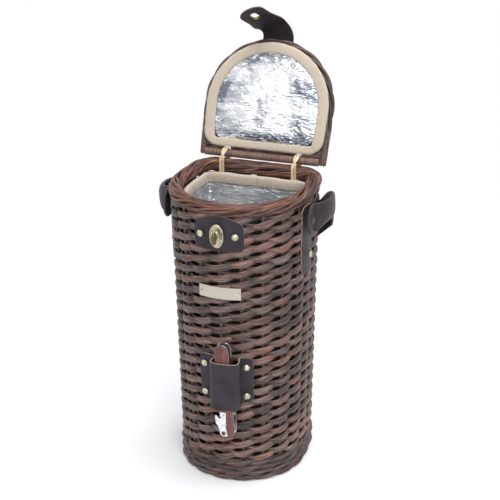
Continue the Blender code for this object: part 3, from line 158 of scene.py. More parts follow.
def ramp(value, start, width):
    """0 up to the start, 1 from start + width on, and a straight line between them."""
    return np.clip((value - start) / width, 0, 1)


def smooth(share):
    """A share from 0 to 1 with a gentle start and end: 3 s^2 - 2 s^3."""
    return share * share * (3 - 2 * share)


def squared(wave, power):
    """A sine or cosine raised to a power with its sign kept. Below 1, it squares a circle."""
    return np.sign(wave) * np.abs(wave) ** power


def stacked(*values):
    """Values brought to one shape and put side by side on a last axis."""
    return np.stack(np.broadcast_arrays(*values), axis=-1)


def full_turn(count):
    """Angles spread evenly round a circle."""
    return 2 * math.pi * np.arange(count) / count


def grid_quads(rows, columns, close_rows, close_columns):
    """The four corners of each cell of a grid, as numbers of its points."""
    row = np.arange(rows if close_rows else rows - 1)[:, None]
    column = np.arange(columns if close_columns else columns - 1)[None, :]
    next_row, next_column = (row + 1) % rows, (column + 1) % columns
    corners = [row * columns + column, row * columns + next_column,
               next_row * columns + next_column, next_row * columns + column]
    return stacked(*corners).reshape(-1, 4)


def part(grid, close_rows=False, close_columns=False, rod=None, tone=0.5, cut=0.0):
    """One entry of a piece: grids of points, and what their material reads."""
    grid = np.asarray(grid, float)
    grid = grid[None] if grid.ndim == 3 else grid
    rod = grid if rod is None else rod
    values = {"rod": np.broadcast_to(rod, grid.shape), "tone": np.broadcast_to(tone, grid.shape[:3]),
              "cut": np.broadcast_to(cut, grid.shape[:3])}
    return {"grid": grid, "close": (close_rows, close_columns), "values": values}


def make_piece(name, parts, material, weld=0.0, sharp=45):
    """A mesh object from a list of parts, with its faces turned outwards."""
    points, faces, values, first = [], [], {"rod": [], "tone": [], "cut": []}, 0
    for entry in parts:
        copies, rows, columns = entry["grid"].shape[:3]
        cells = grid_quads(rows, columns, *entry["close"])
        starts = first + np.arange(copies) * rows * columns
        faces.append((cells[None] + starts[:, None, None]).reshape(-1, 4))
        points.append(entry["grid"].reshape(-1, 3))
        for key, value in entry["values"].items():
            values[key].append(value.reshape(-1, 3) if key == "rod" else value.reshape(-1))
        first += copies * rows * columns
    points, faces = np.concatenate(points), np.concatenate(faces)
    mesh = bpy.data.meshes.new(name)
    mesh.vertices.add(len(points))
    mesh.vertices.foreach_set("co", points.astype(np.float32).ravel())
    mesh.loops.add(faces.size)
    mesh.loops.foreach_set("vertex_index", faces.astype(np.int32).ravel())
    mesh.polygons.add(len(faces))
    mesh.polygons.foreach_set("loop_start", np.arange(0, faces.size, 4, dtype=np.int32))
    for key in ("rod", "tone", "cut"):
        kind, field = ("FLOAT_VECTOR", "vector") if key == "rod" else ("FLOAT", "value")
        layer = mesh.attributes.new(key, kind, "POINT")
        layer.data.foreach_set(field, np.concatenate(values[key]).astype(np.float32).ravel())
    mesh.update(calc_edges=True)
    mesh.validate()
    work = bmesh.new()
    work.from_mesh(mesh)
    if weld:
        bmesh.ops.remove_doubles(work, verts=work.verts, dist=weld)
    bmesh.ops.recalc_face_normals(work, faces=work.faces)
    work.to_mesh(mesh)
    work.free()
    mesh.materials.append(material)
    mesh.shade_smooth()
    mesh.set_sharp_from_angle(angle=math.radians(sharp))
    piece = bpy.data.objects.new(name, mesh)
    bpy.context.collection.objects.link(piece)
    return piece


def place_piece(piece, body, slot, *nodes):
    """Tie a piece to its body and let it stand for the part's plainer nodes. slot, its finish, is not
    used.
    """
    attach(piece, body)
    if nodes:
        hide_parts(*nodes)
    PIECES[piece.name] = len(piece.data.polygons)
    return piece


def add_piece(name, parts, material, body, slot, *nodes, **looks):
    """Make a piece and place it."""
    return place_piece(make_piece(name, parts, material, **looks), body, slot, *nodes)


def read_points(mesh):
    """A mesh's points, one row each."""
    points = np.empty(len(mesh.vertices) * 3, np.float32)
    mesh.vertices.foreach_get("co", points)
    return points.reshape(-1, 3)


def write_points(mesh, points):
    """Move a mesh's points."""
    mesh.vertices.foreach_set("co", np.asarray(points, np.float32).ravel())
    mesh.update()


def rods(paths, across, half_across, half_up, sides=8, tone=None):
    """Rods with an oval section and round ends.

    paths and across have the shape (copies, points, 3). A point of the section at the angle a is
    path + cos(a) half_across across + sin(a) half_up up, where up is square to path and across.
    """
    paths = np.asarray(paths, float)
    across = np.broadcast_to(across, paths.shape)
    half_across = np.broadcast_to(half_across, paths.shape[:2])
    half_up = np.broadcast_to(half_up, paths.shape[:2])
    way = unit(np.gradient(paths, axis=1))
    across = unit(across - (across * way).sum(axis=-1, keepdims=True) * way)
    up = np.cross(way, across)
    tip = half_up[:, [0, -1], None] * 0.5 * way[:, [0, -1]] * np.array([-1, 1])[None, :, None]
    ends = paths[:, [0, -1]] + tip
    paths = np.concatenate([ends[:, :1], paths, ends[:, 1:]], axis=1)
    across, up = (np.concatenate([v[:, :1], v, v[:, -1:]], axis=1) for v in (across, up))
    half_across, half_up = (np.concatenate([v[:, :1] * 0.05, v, v[:, -1:] * 0.05], axis=1)
                            for v in (half_across, half_up))
    angle = full_turn(sides)
    a = half_across[..., None] * np.cos(angle)
    b = half_up[..., None] * np.sin(angle)
    grid = paths[:, :, None] + a[..., None] * across[:, :, None] + b[..., None] * up[:, :, None]
    length = np.cumsum(np.linalg.norm(np.diff(paths, axis=1, prepend=paths[:, :1]), axis=-1), axis=1)
    offset = RANDOM.uniform(0, 5, (len(paths), 1, 1))
    rod = stacked(length[..., None] + offset, a, b)
    tone = RANDOM.uniform(0, 1, len(paths)) if tone is None else np.asarray(tone)
    tone = tone.reshape(len(paths), -1)
    if tone.shape[1] > 1:
        tone = np.concatenate([tone[:, :1], tone, tone[:, -1:]], axis=1)
    return part(grid, close_columns=True, rod=rod, tone=tone[..., None])


def wander(copies, count, waves=(3, 7, 13)):
    """Smooth random waves from -1 to 1, one for each copy: the mean of sines with random phases."""
    turn = np.linspace(0, 2 * math.pi, count)
    phase = RANDOM.uniform(0, 2 * math.pi, (copies, len(waves), 1))
    return np.sin(np.array(waves)[None, :, None] * turn + phase).mean(axis=1)


def creases(points, size, seed, layers=6):
    """Folds of crumpled foil from 0 to 1: the mean of |sin| waves that run in random directions."""
    chance = np.random.default_rng(seed)
    way = unit(chance.normal(size=(layers, 3)))
    step = math.pi / (size * chance.uniform(0.6, 1.6, layers))
    phase = chance.uniform(0, math.pi, layers)
    bend = 0.5 * np.sin(points @ way[::-1].T * step * 0.4 + phase[::-1])
    return np.abs(np.sin(points @ way.T * step + phase + bend)).mean(axis=-1)


def turned(profile, place, axis, up=(0, 0, 1), flat=1.0, sides=32):
    """A turned piece: rings of radius r at the height h along an axis, for each (r, h) of a profile.

    flat shares the radius across the axis, so that 0.6 gives an upright oval.
    """
    axis, up = unit(np.asarray(axis, float)), np.asarray(up, float)
    across = unit(np.cross(up, axis))
    up = np.cross(axis, across)
    angle = full_turn(sides)
    radius, height = np.asarray(profile, float).T
    ring = flat * np.cos(angle)[:, None] * across + np.sin(angle)[:, None] * up
    grid = np.asarray(place) + height[:, None, None] * axis + radius[:, None, None] * ring
    a, b = radius[:, None] * np.cos(angle), radius[:, None] * np.sin(angle)
    return part(grid, close_columns=True, rod=stacked(height[:, None], a, b), tone=RANDOM.uniform())


def edge_distance(grid):
    """How far each point of a grid is from its nearest edge, measured along the grid's lines."""
    best = np.full(grid.shape[:2], np.inf)
    for axis in (0, 1):
        steps = np.diff(grid, axis=axis, prepend=np.take(grid, [0], axis=axis))
        run = np.cumsum(np.linalg.norm(steps, axis=-1), axis=axis)
        total = np.take(run, [-1], axis=axis)
        best = np.minimum(best, np.minimum(run, total - run))
    return best


def sheet_parts(back, thickness, flip=1.0, bevel=0.0012, drop=0.0005, groove=0.0, bulge=0.15,
                cut_edge=1.0, under=0.5, over=0.5, worn=0.0):
    """A sheet with soft edges on a grid of points of its underside.

    The face stands off by thickness - drop (1 - d / bevel)^2, d being the distance to the edge,
    and less groove exp(-((d - 2.2 mm) / 0.35 mm)^2), a line pressed along the edge. The rim is a
    strip of its own. under and over are the tones of the underside and the face, and worn is how
    raw the face's last rows are.
    """
    back = np.asarray(back, float)
    normal = flip * unit(np.cross(np.gradient(back, axis=1), np.gradient(back, axis=0)))
    near = edge_distance(back)
    rise = thickness - drop * (1 - np.clip(near / bevel, 0, 1)) ** 2
    rise -= groove * np.exp(-((near - 0.0022) / 0.00035) ** 2)
    front = back + normal * rise[..., None]
    rows, columns = back.shape[:2]
    last, end = rows - 1, columns - 1
    down, across = np.arange(last), np.arange(end)
    r = np.concatenate([0 * across, down, 0 * across + last, last - down])
    c = np.concatenate([across, 0 * down + end, end - across, 0 * down])
    near_ring, far_ring = front[r, c], back[r, c]
    outward = unit(np.cross(np.roll(far_ring, -1, axis=0) - np.roll(far_ring, 1, axis=0), normal[r, c]))
    centre = far_ring.mean(axis=0)
    outward *= np.sign(np.median(((far_ring - centre) * outward).sum(axis=-1)))
    share = np.array([0, 0.3, 0.7, 1])[:, None, None]
    push = thickness * bulge * np.array([0, 1, 1, 0])[:, None, None]
    rim = near_ring * (1 - share) + far_ring * share + outward * push
    cut = np.array([0, cut_edge, cut_edge, 0])[None, :, None]
    lip = np.zeros((rows, 1))
    lip[-2:] = worn
    return [part(front, tone=over, cut=lip), part(back, tone=under),
            part(rim, close_columns=True, cut=cut)]


def wall_sheet(arcs, bottoms, tops, columns, rows=25):
    """The underside of a sheet on the wall: columns at the arcs, each from bottom to top."""
    arcs = np.asarray(arcs, float)
    edges = [arcs[:1] + 0.0004, arcs[-1:] - 0.0004]
    dense = np.sort(np.concatenate([np.linspace(arcs[0], arcs[-1], columns)] + edges))
    ends = (np.broadcast_to(values, arcs.shape) for values in (bottoms, tops))
    low, high = (np.interp(dense, arcs, values) for values in ends)
    share = np.sort(np.concatenate([np.linspace(0, 1, rows), [0.008, 0.992]]))[:, None]
    return on_wall(dense, low + share * (high - low), GAP)[0]


print("builders ready")

# %% [markdown]
# ## Surfaces
# Each kind of surface is a node group that only gives a colour, a roughness and a height. The
# material around it holds the shader. Colours are written as they look on a screen, from 0 to 255.

# %% Node helpers


def tint(red, green, blue):
    """A screen colour as the linear colour that the renderer wants."""
    share = np.array([red, green, blue]) / 255
    linear = np.where(share <= 0.04045, share / 12.92, ((share + 0.055) / 1.055) ** 2.4)
    return (*map(float, linear), 1.0)


def wire(tree, kind, sockets=None, **settings):
    """Add a node, set it up, and link or set its inputs by name or number."""
    node = tree.nodes.new(kind)
    for key, value in settings.items():
        setattr(node, key, value)
    for key, value in (sockets or {}).items():
        if isinstance(value, bpy.types.NodeSocket):
            tree.links.new(value, node.inputs[key])
        else:
            node.inputs[key].default_value = value
    return node


def mix_colour(tree, factor, first, second):
    """Two colours blended by a factor."""
    return wire(tree, "ShaderNodeMix", {0: factor, 6: first, 7: second}, data_type="RGBA").outputs[2]


def calc(tree, operation, *values):
    """One sum on one to three values."""
    return wire(tree, "ShaderNodeMath", dict(enumerate(values)), operation=operation).outputs[0]


def remap(tree, value, low, high, to_low=0.0, to_high=1.0):
    """A value moved from one range to another, and kept inside it."""
    sockets = {"Value": value, "From Min": low, "From Max": high, "To Min": to_low, "To Max": to_high}
    return wire(tree, "ShaderNodeMapRange", sockets).outputs[0]


def noise(tree, place, scale, detail=3.0, rough=0.55, bent=0.0):
    """Soft noise from 0 to 1."""
    sockets = {"Vector": place, "Scale": scale, "Detail": detail, "Roughness": rough,
               "Distortion": bent}
    return wire(tree, "ShaderNodeTexNoise", sockets).outputs["Fac"]


def cell_edges(tree, place, scale, feature="F1"):
    """The distance to the middle of the nearest cell, or to its edge."""
    sockets = {"Vector": place, "Scale": scale}
    return wire(tree, "ShaderNodeTexVoronoi", sockets, feature=feature).outputs["Distance"]


def shifted(tree, place, scale, reach, detail=2.0):
    """A place moved about by soft noise."""
    sockets = {"Vector": place, "Scale": scale, "Detail": detail}
    push = wire(tree, "ShaderNodeTexNoise", sockets).outputs["Color"]
    sockets = {0: push, 1: (reach, reach, reach), 2: place}
    return wire(tree, "ShaderNodeVectorMath", sockets, operation="MULTIPLY_ADD").outputs[0]


def stretch(tree, place, x, y, z):
    """A place stretched along its three axes."""
    return wire(tree, "ShaderNodeVectorMath", {0: place, 1: (x, y, z)}, operation="MULTIPLY").outputs[0]


def make_group(name, inputs, outputs):
    """A node group with named sockets. It returns the group, what comes in and what goes out."""
    group = bpy.data.node_groups.new(name, "ShaderNodeTree")
    for label, kind, value in inputs:
        socket = group.interface.new_socket(label, in_out="INPUT", socket_type="NodeSocket" + kind)
        if value is not None:
            socket.default_value = value
    for label, kind in outputs:
        group.interface.new_socket(label, in_out="OUTPUT", socket_type="NodeSocket" + kind)
    return group, group.nodes.new("NodeGroupInput").outputs, group.nodes.new("NodeGroupOutput").inputs


FINISH = (("Colour", "Color"), ("Roughness", "Float"), ("Height", "Float"))


def finished(group, made, *sockets):
    """The group, with its colour, roughness and height linked."""
    for (label, _), socket in zip(FINISH, sockets):
        group.links.new(socket, made[label])
    return group


def make_surface(name, group, bump, settings=None, metallic=0.0, coat=0.0, sheen=0.0, shine=0.5):
    """A material round a group: colour, roughness and bump go to one shader. bump is in metres."""
    material = bpy.data.materials.new(name)
    material.use_nodes = True
    tree = material.node_tree
    shader = tree.nodes["Principled BSDF"]
    finish = wire(tree, "ShaderNodeGroup", node_tree=group)
    where = wire(tree, "ShaderNodeTexCoord").outputs["Object"]
    for label, attribute in (("Rod", "rod"), ("Tone", "tone"), ("Cut", "cut")):
        if label in finish.inputs:
            reader = wire(tree, "ShaderNodeAttribute", attribute_name=attribute)
            tree.links.new(reader.outputs["Vector" if label == "Rod" else "Fac"], finish.inputs[label])
    if "Place" in finish.inputs:
        tree.links.new(where, finish.inputs["Place"])
    for label, value in (settings or {}).items():
        finish.inputs[label].default_value = value
    sockets = {"Height": finish.outputs["Height"], "Distance": bump, "Strength": 1.0}
    relief = wire(tree, "ShaderNodeBump", sockets)
    tree.links.new(finish.outputs["Colour"], shader.inputs["Base Color"])
    tree.links.new(finish.outputs["Roughness"], shader.inputs["Roughness"])
    tree.links.new(relief.outputs[0], shader.inputs["Normal"])
    for label, value in (("Metallic", metallic), ("Specular IOR Level", shine), ("Coat Weight", coat),
                         ("Coat Roughness", 0.25), ("Sheen Weight", sheen)):
        shader.inputs[label].default_value = value
    return material


# %% [markdown]
# ### Willow and cane
# Bark has streaks along the rod: noise that is stretched 15 times along it. A slower noise makes
# lighter and darker lengths, and small dark marks stand for the leaf scars.

# %% Willow, cane and wood


def bark_group():
    """Bark of a rod that reads where it is along the rod and round it."""
    group, given, made = make_group("bark", [
        ("Rod", "Vector", None), ("Tone", "Float", 0.5), ("Dark", "Color", tint(30, 20, 20)),
        ("Middle", "Color", tint(90, 62, 55)), ("Light", "Color", tint(150, 105, 85)),
        ("Cool", "Color", tint(158, 142, 140)), ("Gloss", "Float", 0.4)], FINISH)
    rod = given["Rod"]
    fine = noise(group, stretch(group, rod, 60, 900, 900), 1.0, 4.0, 0.6)
    slow = noise(group, stretch(group, rod, 14, 60, 60), 1.0, 2.0)
    scar = remap(group, cell_edges(group, stretch(group, rod, 22, 160, 160), 1.0), 0.10, 0.22, 1.0, 0.0)
    slow = calc(group, "MULTIPLY_ADD", slow, 1.1, -0.45)
    lift = calc(group, "MULTIPLY_ADD", given["Tone"], 0.75, slow)
    body = mix_colour(group, remap(group, lift, 0.1, 0.9), given["Dark"], given["Middle"])
    bright = calc(group, "MULTIPLY", remap(group, fine, 0.46, 0.72, 0.0, 0.85),
                  remap(group, lift, -0.1, 0.5, 0.25, 1.0))
    weathered = noise(group, stretch(group, rod, 9, 50, 50), 1.0, 2.0)
    light = mix_colour(group, remap(group, weathered, 0.42, 0.56), given["Light"], given["Cool"])
    body = mix_colour(group, bright, body, light)
    body = mix_colour(group, calc(group, "MULTIPLY", scar, 0.6), body, given["Dark"])
    rough = calc(group, "MULTIPLY_ADD", fine, 0.3, calc(group, "SUBTRACT", given["Gloss"], 0.12))
    height = calc(group, "SUBTRACT", fine, calc(group, "MULTIPLY", scar, 0.4))
    return finished(group, made, body, rough, height)


def timber_group():
    """Polished handle wood: stretched grain with darker pores."""
    group, given, made = make_group("timber", [
        ("Place", "Vector", None), ("Dark", "Color", tint(80, 40, 36)),
        ("Light", "Color", tint(130, 74, 68))], FINISH)
    place = stretch(group, given["Place"], 420, 420, 26)
    grain = noise(group, place, 1.0, 4.0, 0.6, 0.6)
    pores = noise(group, stretch(group, given["Place"], 2600, 2600, 120), 1.0, 2.0)
    colour = mix_colour(group, remap(group, grain, 0.3, 0.7), given["Dark"], given["Light"])
    colour = mix_colour(group, remap(group, pores, 0.58, 0.70, 0.0, 0.6), colour, given["Dark"])
    return finished(group, made, colour, remap(group, pores, 0.3, 0.7, 0.32, 0.5),
                    calc(group, "SUBTRACT", 1.0, remap(group, pores, 0.55, 0.7)))


def bark_surface(name, dark, middle, light, bump=0.0004, coat=0.1, shine=0.35, **others):
    """A bark material from three screen colours."""
    settings = {"Dark": tint(*dark), "Middle": tint(*middle), "Light": tint(*light), "Gloss": 0.5}
    return make_surface(name, BARK, bump, {**settings, **others}, coat=coat, shine=shine)


BARK, TIMBER = bark_group(), timber_group()
WILLOW = bark_surface("brown_willow", (40, 29, 30), (106, 76, 69), (180, 134, 112), shine=0.42)
BORDER_WILLOW = bark_surface("border_willow", (40, 28, 28), (98, 60, 48), (182, 120, 86), coat=0.05,
                             shine=0.25, Cool=tint(158, 134, 126), Gloss=0.46)
SHADE_WILLOW = bark_surface("shaded_willow", (44, 32, 32), (98, 72, 66), (150, 114, 100))
BAR_CANE = bark_surface("bar_binding", (70, 50, 44), (132, 102, 88), (176, 140, 120))
CANE = bark_surface("pale_cane", (196, 170, 130), (230, 210, 176), (246, 234, 208), 0.0003,
                    Cool=tint(224, 206, 176))
WOOD = make_surface("handle_wood", TIMBER, 0.00015, coat=0.1)
print("wood surfaces ready")

# %% [markdown]
# ### Leather, cloth and foil
# Leather is a net of small cells with fine pores. Where a sheet was cut, its `cut` value is 1 and
# the raw pale hide shows. Cloth is two sets of threads that cross. Foil is crumpled with two sizes
# of cells, whose edges catch the light while the hollows turn blue-grey, a painted reflection and
# shade. On the bag's outer face, behind the weave, the foil is painted dark as shade.

# %% Leather, cloth and foil


def hide_group():
    """Leather with pebble grain, soft wear, pale cut edges, and painted shade at a low tone."""
    group, given, made = make_group("hide", [
        ("Place", "Vector", None), ("Cut", "Float", 0.0), ("Tone", "Float", 0.5),
        ("Dark", "Color", tint(36, 30, 36)), ("Light", "Color", tint(68, 61, 69)),
        ("Raw", "Color", tint(196, 172, 162))], FINISH)
    place = shifted(group, given["Place"], 160.0, 0.0012)
    pebble = remap(group, cell_edges(group, place, 1100.0, "DISTANCE_TO_EDGE"), 0.0, 0.25)
    wear = noise(group, given["Place"], 45.0, 4.0, 0.6)
    pores = noise(group, given["Place"], 2600.0, 2.0)
    colour = mix_colour(group, remap(group, wear, 0.3, 0.75), given["Dark"], given["Light"])
    gully = calc(group, "MULTIPLY", calc(group, "SUBTRACT", 1.0, pebble), 0.45)
    colour = mix_colour(group, gully, colour, given["Dark"])
    # Painted shade: a tone below 0.5 takes the colour towards near black (14, 11, 12).
    colour = mix_colour(group, remap(group, given["Tone"], 0.0, 0.5), tint(14, 11, 12), colour)
    fibre = mix_colour(group, remap(group, pores, 0.35, 0.7), given["Raw"], tint(150, 120, 112))
    colour = mix_colour(group, remap(group, given["Cut"], 0.35, 0.7), colour, fibre)
    rough = calc(group, "MULTIPLY_ADD", given["Cut"], 0.35, remap(group, wear, 0.3, 0.75, 0.36, 0.54))
    rough = calc(group, "ADD", rough, remap(group, given["Tone"], 0.0, 0.5, 0.4, 0.0))
    return finished(group, made, colour, rough, calc(group, "MULTIPLY_ADD", pores, 0.25, pebble))


def thread_group():
    """Plain weave cloth: two sets of threads cross at right angles, with a little slub."""
    group, given, made = make_group("threads", [
        ("Rod", "Vector", None), ("Place", "Vector", None), ("Light", "Color", tint(209, 196, 179)),
        ("Dark", "Color", tint(170, 153, 136))], FINISH)
    split = wire(group, "ShaderNodeSeparateXYZ", {0: given["Rod"]})
    slub = noise(group, stretch(group, given["Place"], 300, 300, 300), 1.0, 3.0)
    lines = []
    for axis in (0, 1):
        turn = calc(group, "MULTIPLY", split.outputs[axis], 2 * math.pi / 0.0011)
        phase = calc(group, "MULTIPLY_ADD", slub, 1.2, turn)
        lines.append(calc(group, "MULTIPLY_ADD", calc(group, "SINE", phase), 0.5, 0.5))
    height = calc(group, "MAXIMUM", *lines)
    soil = noise(group, given["Place"], 60.0, 4.0, 0.6)
    colour = mix_colour(group, remap(group, height, 0.2, 0.9), given["Dark"], given["Light"])
    colour = mix_colour(group, remap(group, soil, 0.5, 0.8, 0.0, 0.35), colour, given["Dark"])
    return finished(group, made, colour, remap(group, slub, 0.0, 1.0, 0.78, 0.92),
                    calc(group, "MULTIPLY_ADD", slub, 0.3, height))


def foil_group():
    """Crumpled foil: bright facets between creases of two sizes, and hollows of painted blue-grey shade
    and reflection.
    """
    group, given, made = make_group("crumpled_foil", [
        ("Place", "Vector", None), ("Cut", "Float", 0.0), ("Tone", "Float", 0.5),
        ("Bright", "Color", tint(244, 246, 249)), ("Grey", "Color", tint(112, 119, 131)),
        ("Painted_Shade", "Color", tint(38, 34, 38))], FINISH)
    place = shifted(group, stretch(group, given["Place"], 0.36, 1, 1), 70.0, 0.012, 3.0)
    folds = [cell_edges(group, place, scale) for scale in (150.0, 420.0)]
    height = calc(group, "MULTIPLY_ADD", folds[1], 0.7, calc(group, "MULTIPLY", folds[0], 0.6))
    patches = noise(group, place, 55.0, 3.0, 0.6)
    # Painted reflection and shade: blue-grey follows the creases and slow patches and grows with the
    # tone. Where the tone is low the foil stays white, but for painted streaks.
    grey = calc(group, "MULTIPLY", remap(group, height, 0.34, 0.62), remap(group, patches, 0.36, 0.56))
    flow = noise(group, stretch(group, given["Place"], 120, 30, 30), 1.0, 2.0, 0.5)
    streak = calc(group, "MULTIPLY", remap(group, flow, 0.57, 0.68),
                  remap(group, given["Tone"], 0.0, 0.3, 0.6, 0.0))
    share = calc(group, "MULTIPLY", calc(group, "MULTIPLY_ADD", grey, 0.8, 0.2),
                 calc(group, "MULTIPLY_ADD", given["Tone"], 0.96, 0.04))
    share = calc(group, "MAXIMUM", share, streak)
    colour = mix_colour(group, share, given["Bright"], given["Grey"])
    # Painted shade: where cut is 1 the foil turns near black.
    colour = mix_colour(group, given["Cut"], colour, given["Painted_Shade"])
    rough = remap(group, patches, 0.3, 0.7, 0.16, 0.3)
    rough = calc(group, "MULTIPLY_ADD", given["Cut"], 0.5, rough)
    return finished(group, made, colour, rough, height)


HIDE, THREADS, FOIL_GROUP = hide_group(), thread_group(), foil_group()
HIDE_SURFACE = make_surface("dark_leather", HIDE, 0.00012, shine=0.25)
CLOTH = make_surface("beige_cloth", THREADS, 0.00025, sheen=0.25)
FOIL = make_surface("silver_foil", FOIL_GROUP, 0.0016, metallic=0.85)
BAG_FOIL = make_surface("bag_foil", FOIL_GROUP, 0.0012, {"Grey": tint(96, 102, 110)}, metallic=0.5)
print("soft surfaces ready")

# %% [markdown]
# ### Metals
# Antique brass is pale where it is rubbed and olive in its hollows. Polished steel has faint
# lines along its length.

# %% Brass and steel


def metal_group():
    """Worn metal: slow patches of tarnish and fine scratches."""
    group, given, made = make_group("worn_metal", [
        ("Place", "Vector", None), ("Bright", "Color", tint(228, 224, 204)),
        ("Tarnish", "Color", tint(166, 158, 130)), ("Amount", "Float", 0.4),
        ("Smooth", "Float", 0.28)], FINISH)
    patches = noise(group, given["Place"], 380.0, 4.0, 0.6)
    scratches = noise(group, stretch(group, given["Place"], 500, 500, 4200), 1.0, 3.0)
    edge = calc(group, "SUBTRACT", 0.95, given["Amount"])
    low = calc(group, "SUBTRACT", edge, 0.2)
    colour = mix_colour(group, remap(group, patches, low, edge), given["Bright"], given["Tarnish"])
    rough = calc(group, "MULTIPLY_ADD", patches, 0.25, given["Smooth"])
    rough = calc(group, "MULTIPLY_ADD", scratches, 0.12, calc(group, "SUBTRACT", rough, 0.12))
    return finished(group, made, colour, rough, calc(group, "MULTIPLY_ADD", scratches, 0.3, patches))


def metal_surface(name, bright, tarnish, bump, metallic, amount=0.4, polish=0.28):
    """A metal from two screen colours, how much tarnish it has and how rough it is."""
    settings = {"Bright": tint(*bright), "Tarnish": tint(*tarnish), "Amount": amount, "Smooth": polish}
    return make_surface(name, METAL, bump, settings, metallic=metallic)


METAL = metal_group()
BRASS = metal_surface("antique_brass", (228, 224, 204), (166, 158, 130), 0.00006, 0.9)
OLD_BRASS = metal_surface("tarnished_brass", (178, 170, 130), (96, 88, 56), 0.00008, 0.9, 0.55)
PLATE_BRASS = metal_surface("pale_brass", (192, 186, 174), (186, 180, 166), 0.00003, 0.85, 0.3, 0.34)
STEEL = metal_surface("polished_steel", (240, 242, 245), (205, 208, 214), 0.00002, 1.0, 0.4, 0.16)
PIN_METAL = metal_surface("browned_steel", (126, 84, 76), (92, 58, 52), 0.00002, 0.8, 0.4, 0.3)
print("metal surfaces ready")

# %% [markdown]
# ## The woven wall
# Twenty stakes stand 26 mm apart. A weaver's middle line circles as it goes: its distance off the
# wall follows cos(a) and its height sin(a), where a grows by half a turn from one stake to the
# next. So it passes over one stake, under the next, and every visible stroke slants up to the
# right. The next row starts half a turn later.

# %% Wall, foot and floor
MIDDLE = -WALL / 2


def ring_angles(level, per_stake=8):
    """Distances round the wall at a level from the back centre, and the weave's angle there."""
    share = np.linspace(-0.5, 0.5, STAKES * per_stake + 1)
    arc = round_wall(share, level[:, None])
    return arc, np.broadcast_to(share * STAKES * math.pi, arc.shape)


def weave_rows():
    """The wall's weavers as rods."""
    pitch = (HEIGHT - BORDER_HEIGHT - FOOT_HEIGHT) / ROWS
    row = np.arange(ROWS)
    level = FOOT_HEIGHT + pitch * (row + 0.5)
    arc, angle = ring_angles(level)
    angle = angle + math.pi * row[:, None] + 0.25 * wander(ROWS, arc.shape[1])
    crown = squared(np.cos(angle), 0.8)
    deep = 0.00185 * (1 + 0.10 * wander(ROWS, arc.shape[1], (5, 11, 19)))
    out = MIDDLE + (WALL / 2 - deep) * crown
    height = level[:, None] + 0.0019 * np.sin(angle) + 0.0005 * wander(ROWS, arc.shape[1], (4, 9, 23))
    tall = 0.0034 + 0.0008 * np.clip(crown, 0, 1) + 0.0003 * wander(ROWS, arc.shape[1], (6, 13, 27))
    path, normal = on_wall(arc, height, out)
    own = RANDOM.uniform(0, 1, (ROWS, 1)) - 0.5
    # Each row has a random tone that wanders along it. On top of that comes painted light and shade: a
    # painted highlight on the front a little right of the middle, painted light where a rod comes forward
    # over a stake and painted shade where it goes back behind one. The rows are also darker towards the
    # bottom, below 120 mm.
    tone = 0.38 + 0.9 * own + 0.5 * wander(ROWS, arc.shape[1], (2, 5, 9))
    tone += 0.26 * np.exp(-((arc - 0.018) / 0.045) ** 2) - 0.24 * np.clip((0.12 - height) / 0.08, 0, 1)
    tone += 0.12 * np.clip(crown, 0, 1) - 0.55 * np.clip(0.25 - crown, 0, 1)
    return rods(path, normal, deep, tall, 8, np.clip(tone, 0, 1))


def stake_rods():
    """The upright stakes inside the weave, from the floor up into the border."""
    height = np.linspace(0.004, HEIGHT - BORDER_HEIGHT * 0.6, 40)[None, :]
    arc = round_wall((np.arange(STAKES) / STAKES)[:, None], height)
    path, normal = on_wall(arc, height, MIDDLE)
    # A tone of 0.05 paints the stakes dark, a painted shade where they show between the rows.
    return rods(path, normal, 0.0015, 0.0024, 8, np.full(STAKES, 0.05))


def wale_rows():
    """The foot: rows of three rods that turn about each other once in every three stakes."""
    pitch = FOOT_HEIGHT / FOOT_ROWS
    row, strand = (v.ravel() for v in np.mgrid[0:FOOT_ROWS, 0:3])
    level = pitch * (row + 0.5)
    arc, angle = ring_angles(level)
    spread = STAKES // 3 * 2 / STAKES
    angle = angle * spread + 2 * math.pi * strand[:, None] / 3 + 0.9 * row[:, None]
    deep = 0.0021
    out = MIDDLE + 0.0005 + (WALL / 2 + 0.0005 - deep) * np.cos(angle)
    height = level[:, None] + 0.0013 * np.sin(angle)
    path, normal = on_wall(arc, height, out)
    entry = rods(path, normal, deep, 0.0026, 8, 0.20 * RANDOM.uniform(0, 1, len(row)))
    entry["grid"][..., 2] = np.clip(entry["grid"][..., 2], 0, None)
    return entry


add_piece("woven_wall", [weave_rows(), stake_rods()], WILLOW, "basket", "willow", "wall_weave")
add_piece("foot_wale_rods", [wale_rows()], WILLOW, "basket", "willow", "foot_wale")
print("wall and foot:", PIECES["woven_wall"], PIECES["foot_wale_rods"], "faces")

# %% [markdown]
# The floor is woven the same way on its side: rings that shrink towards the middle pass over and
# under seven sticks.

# %% Floor


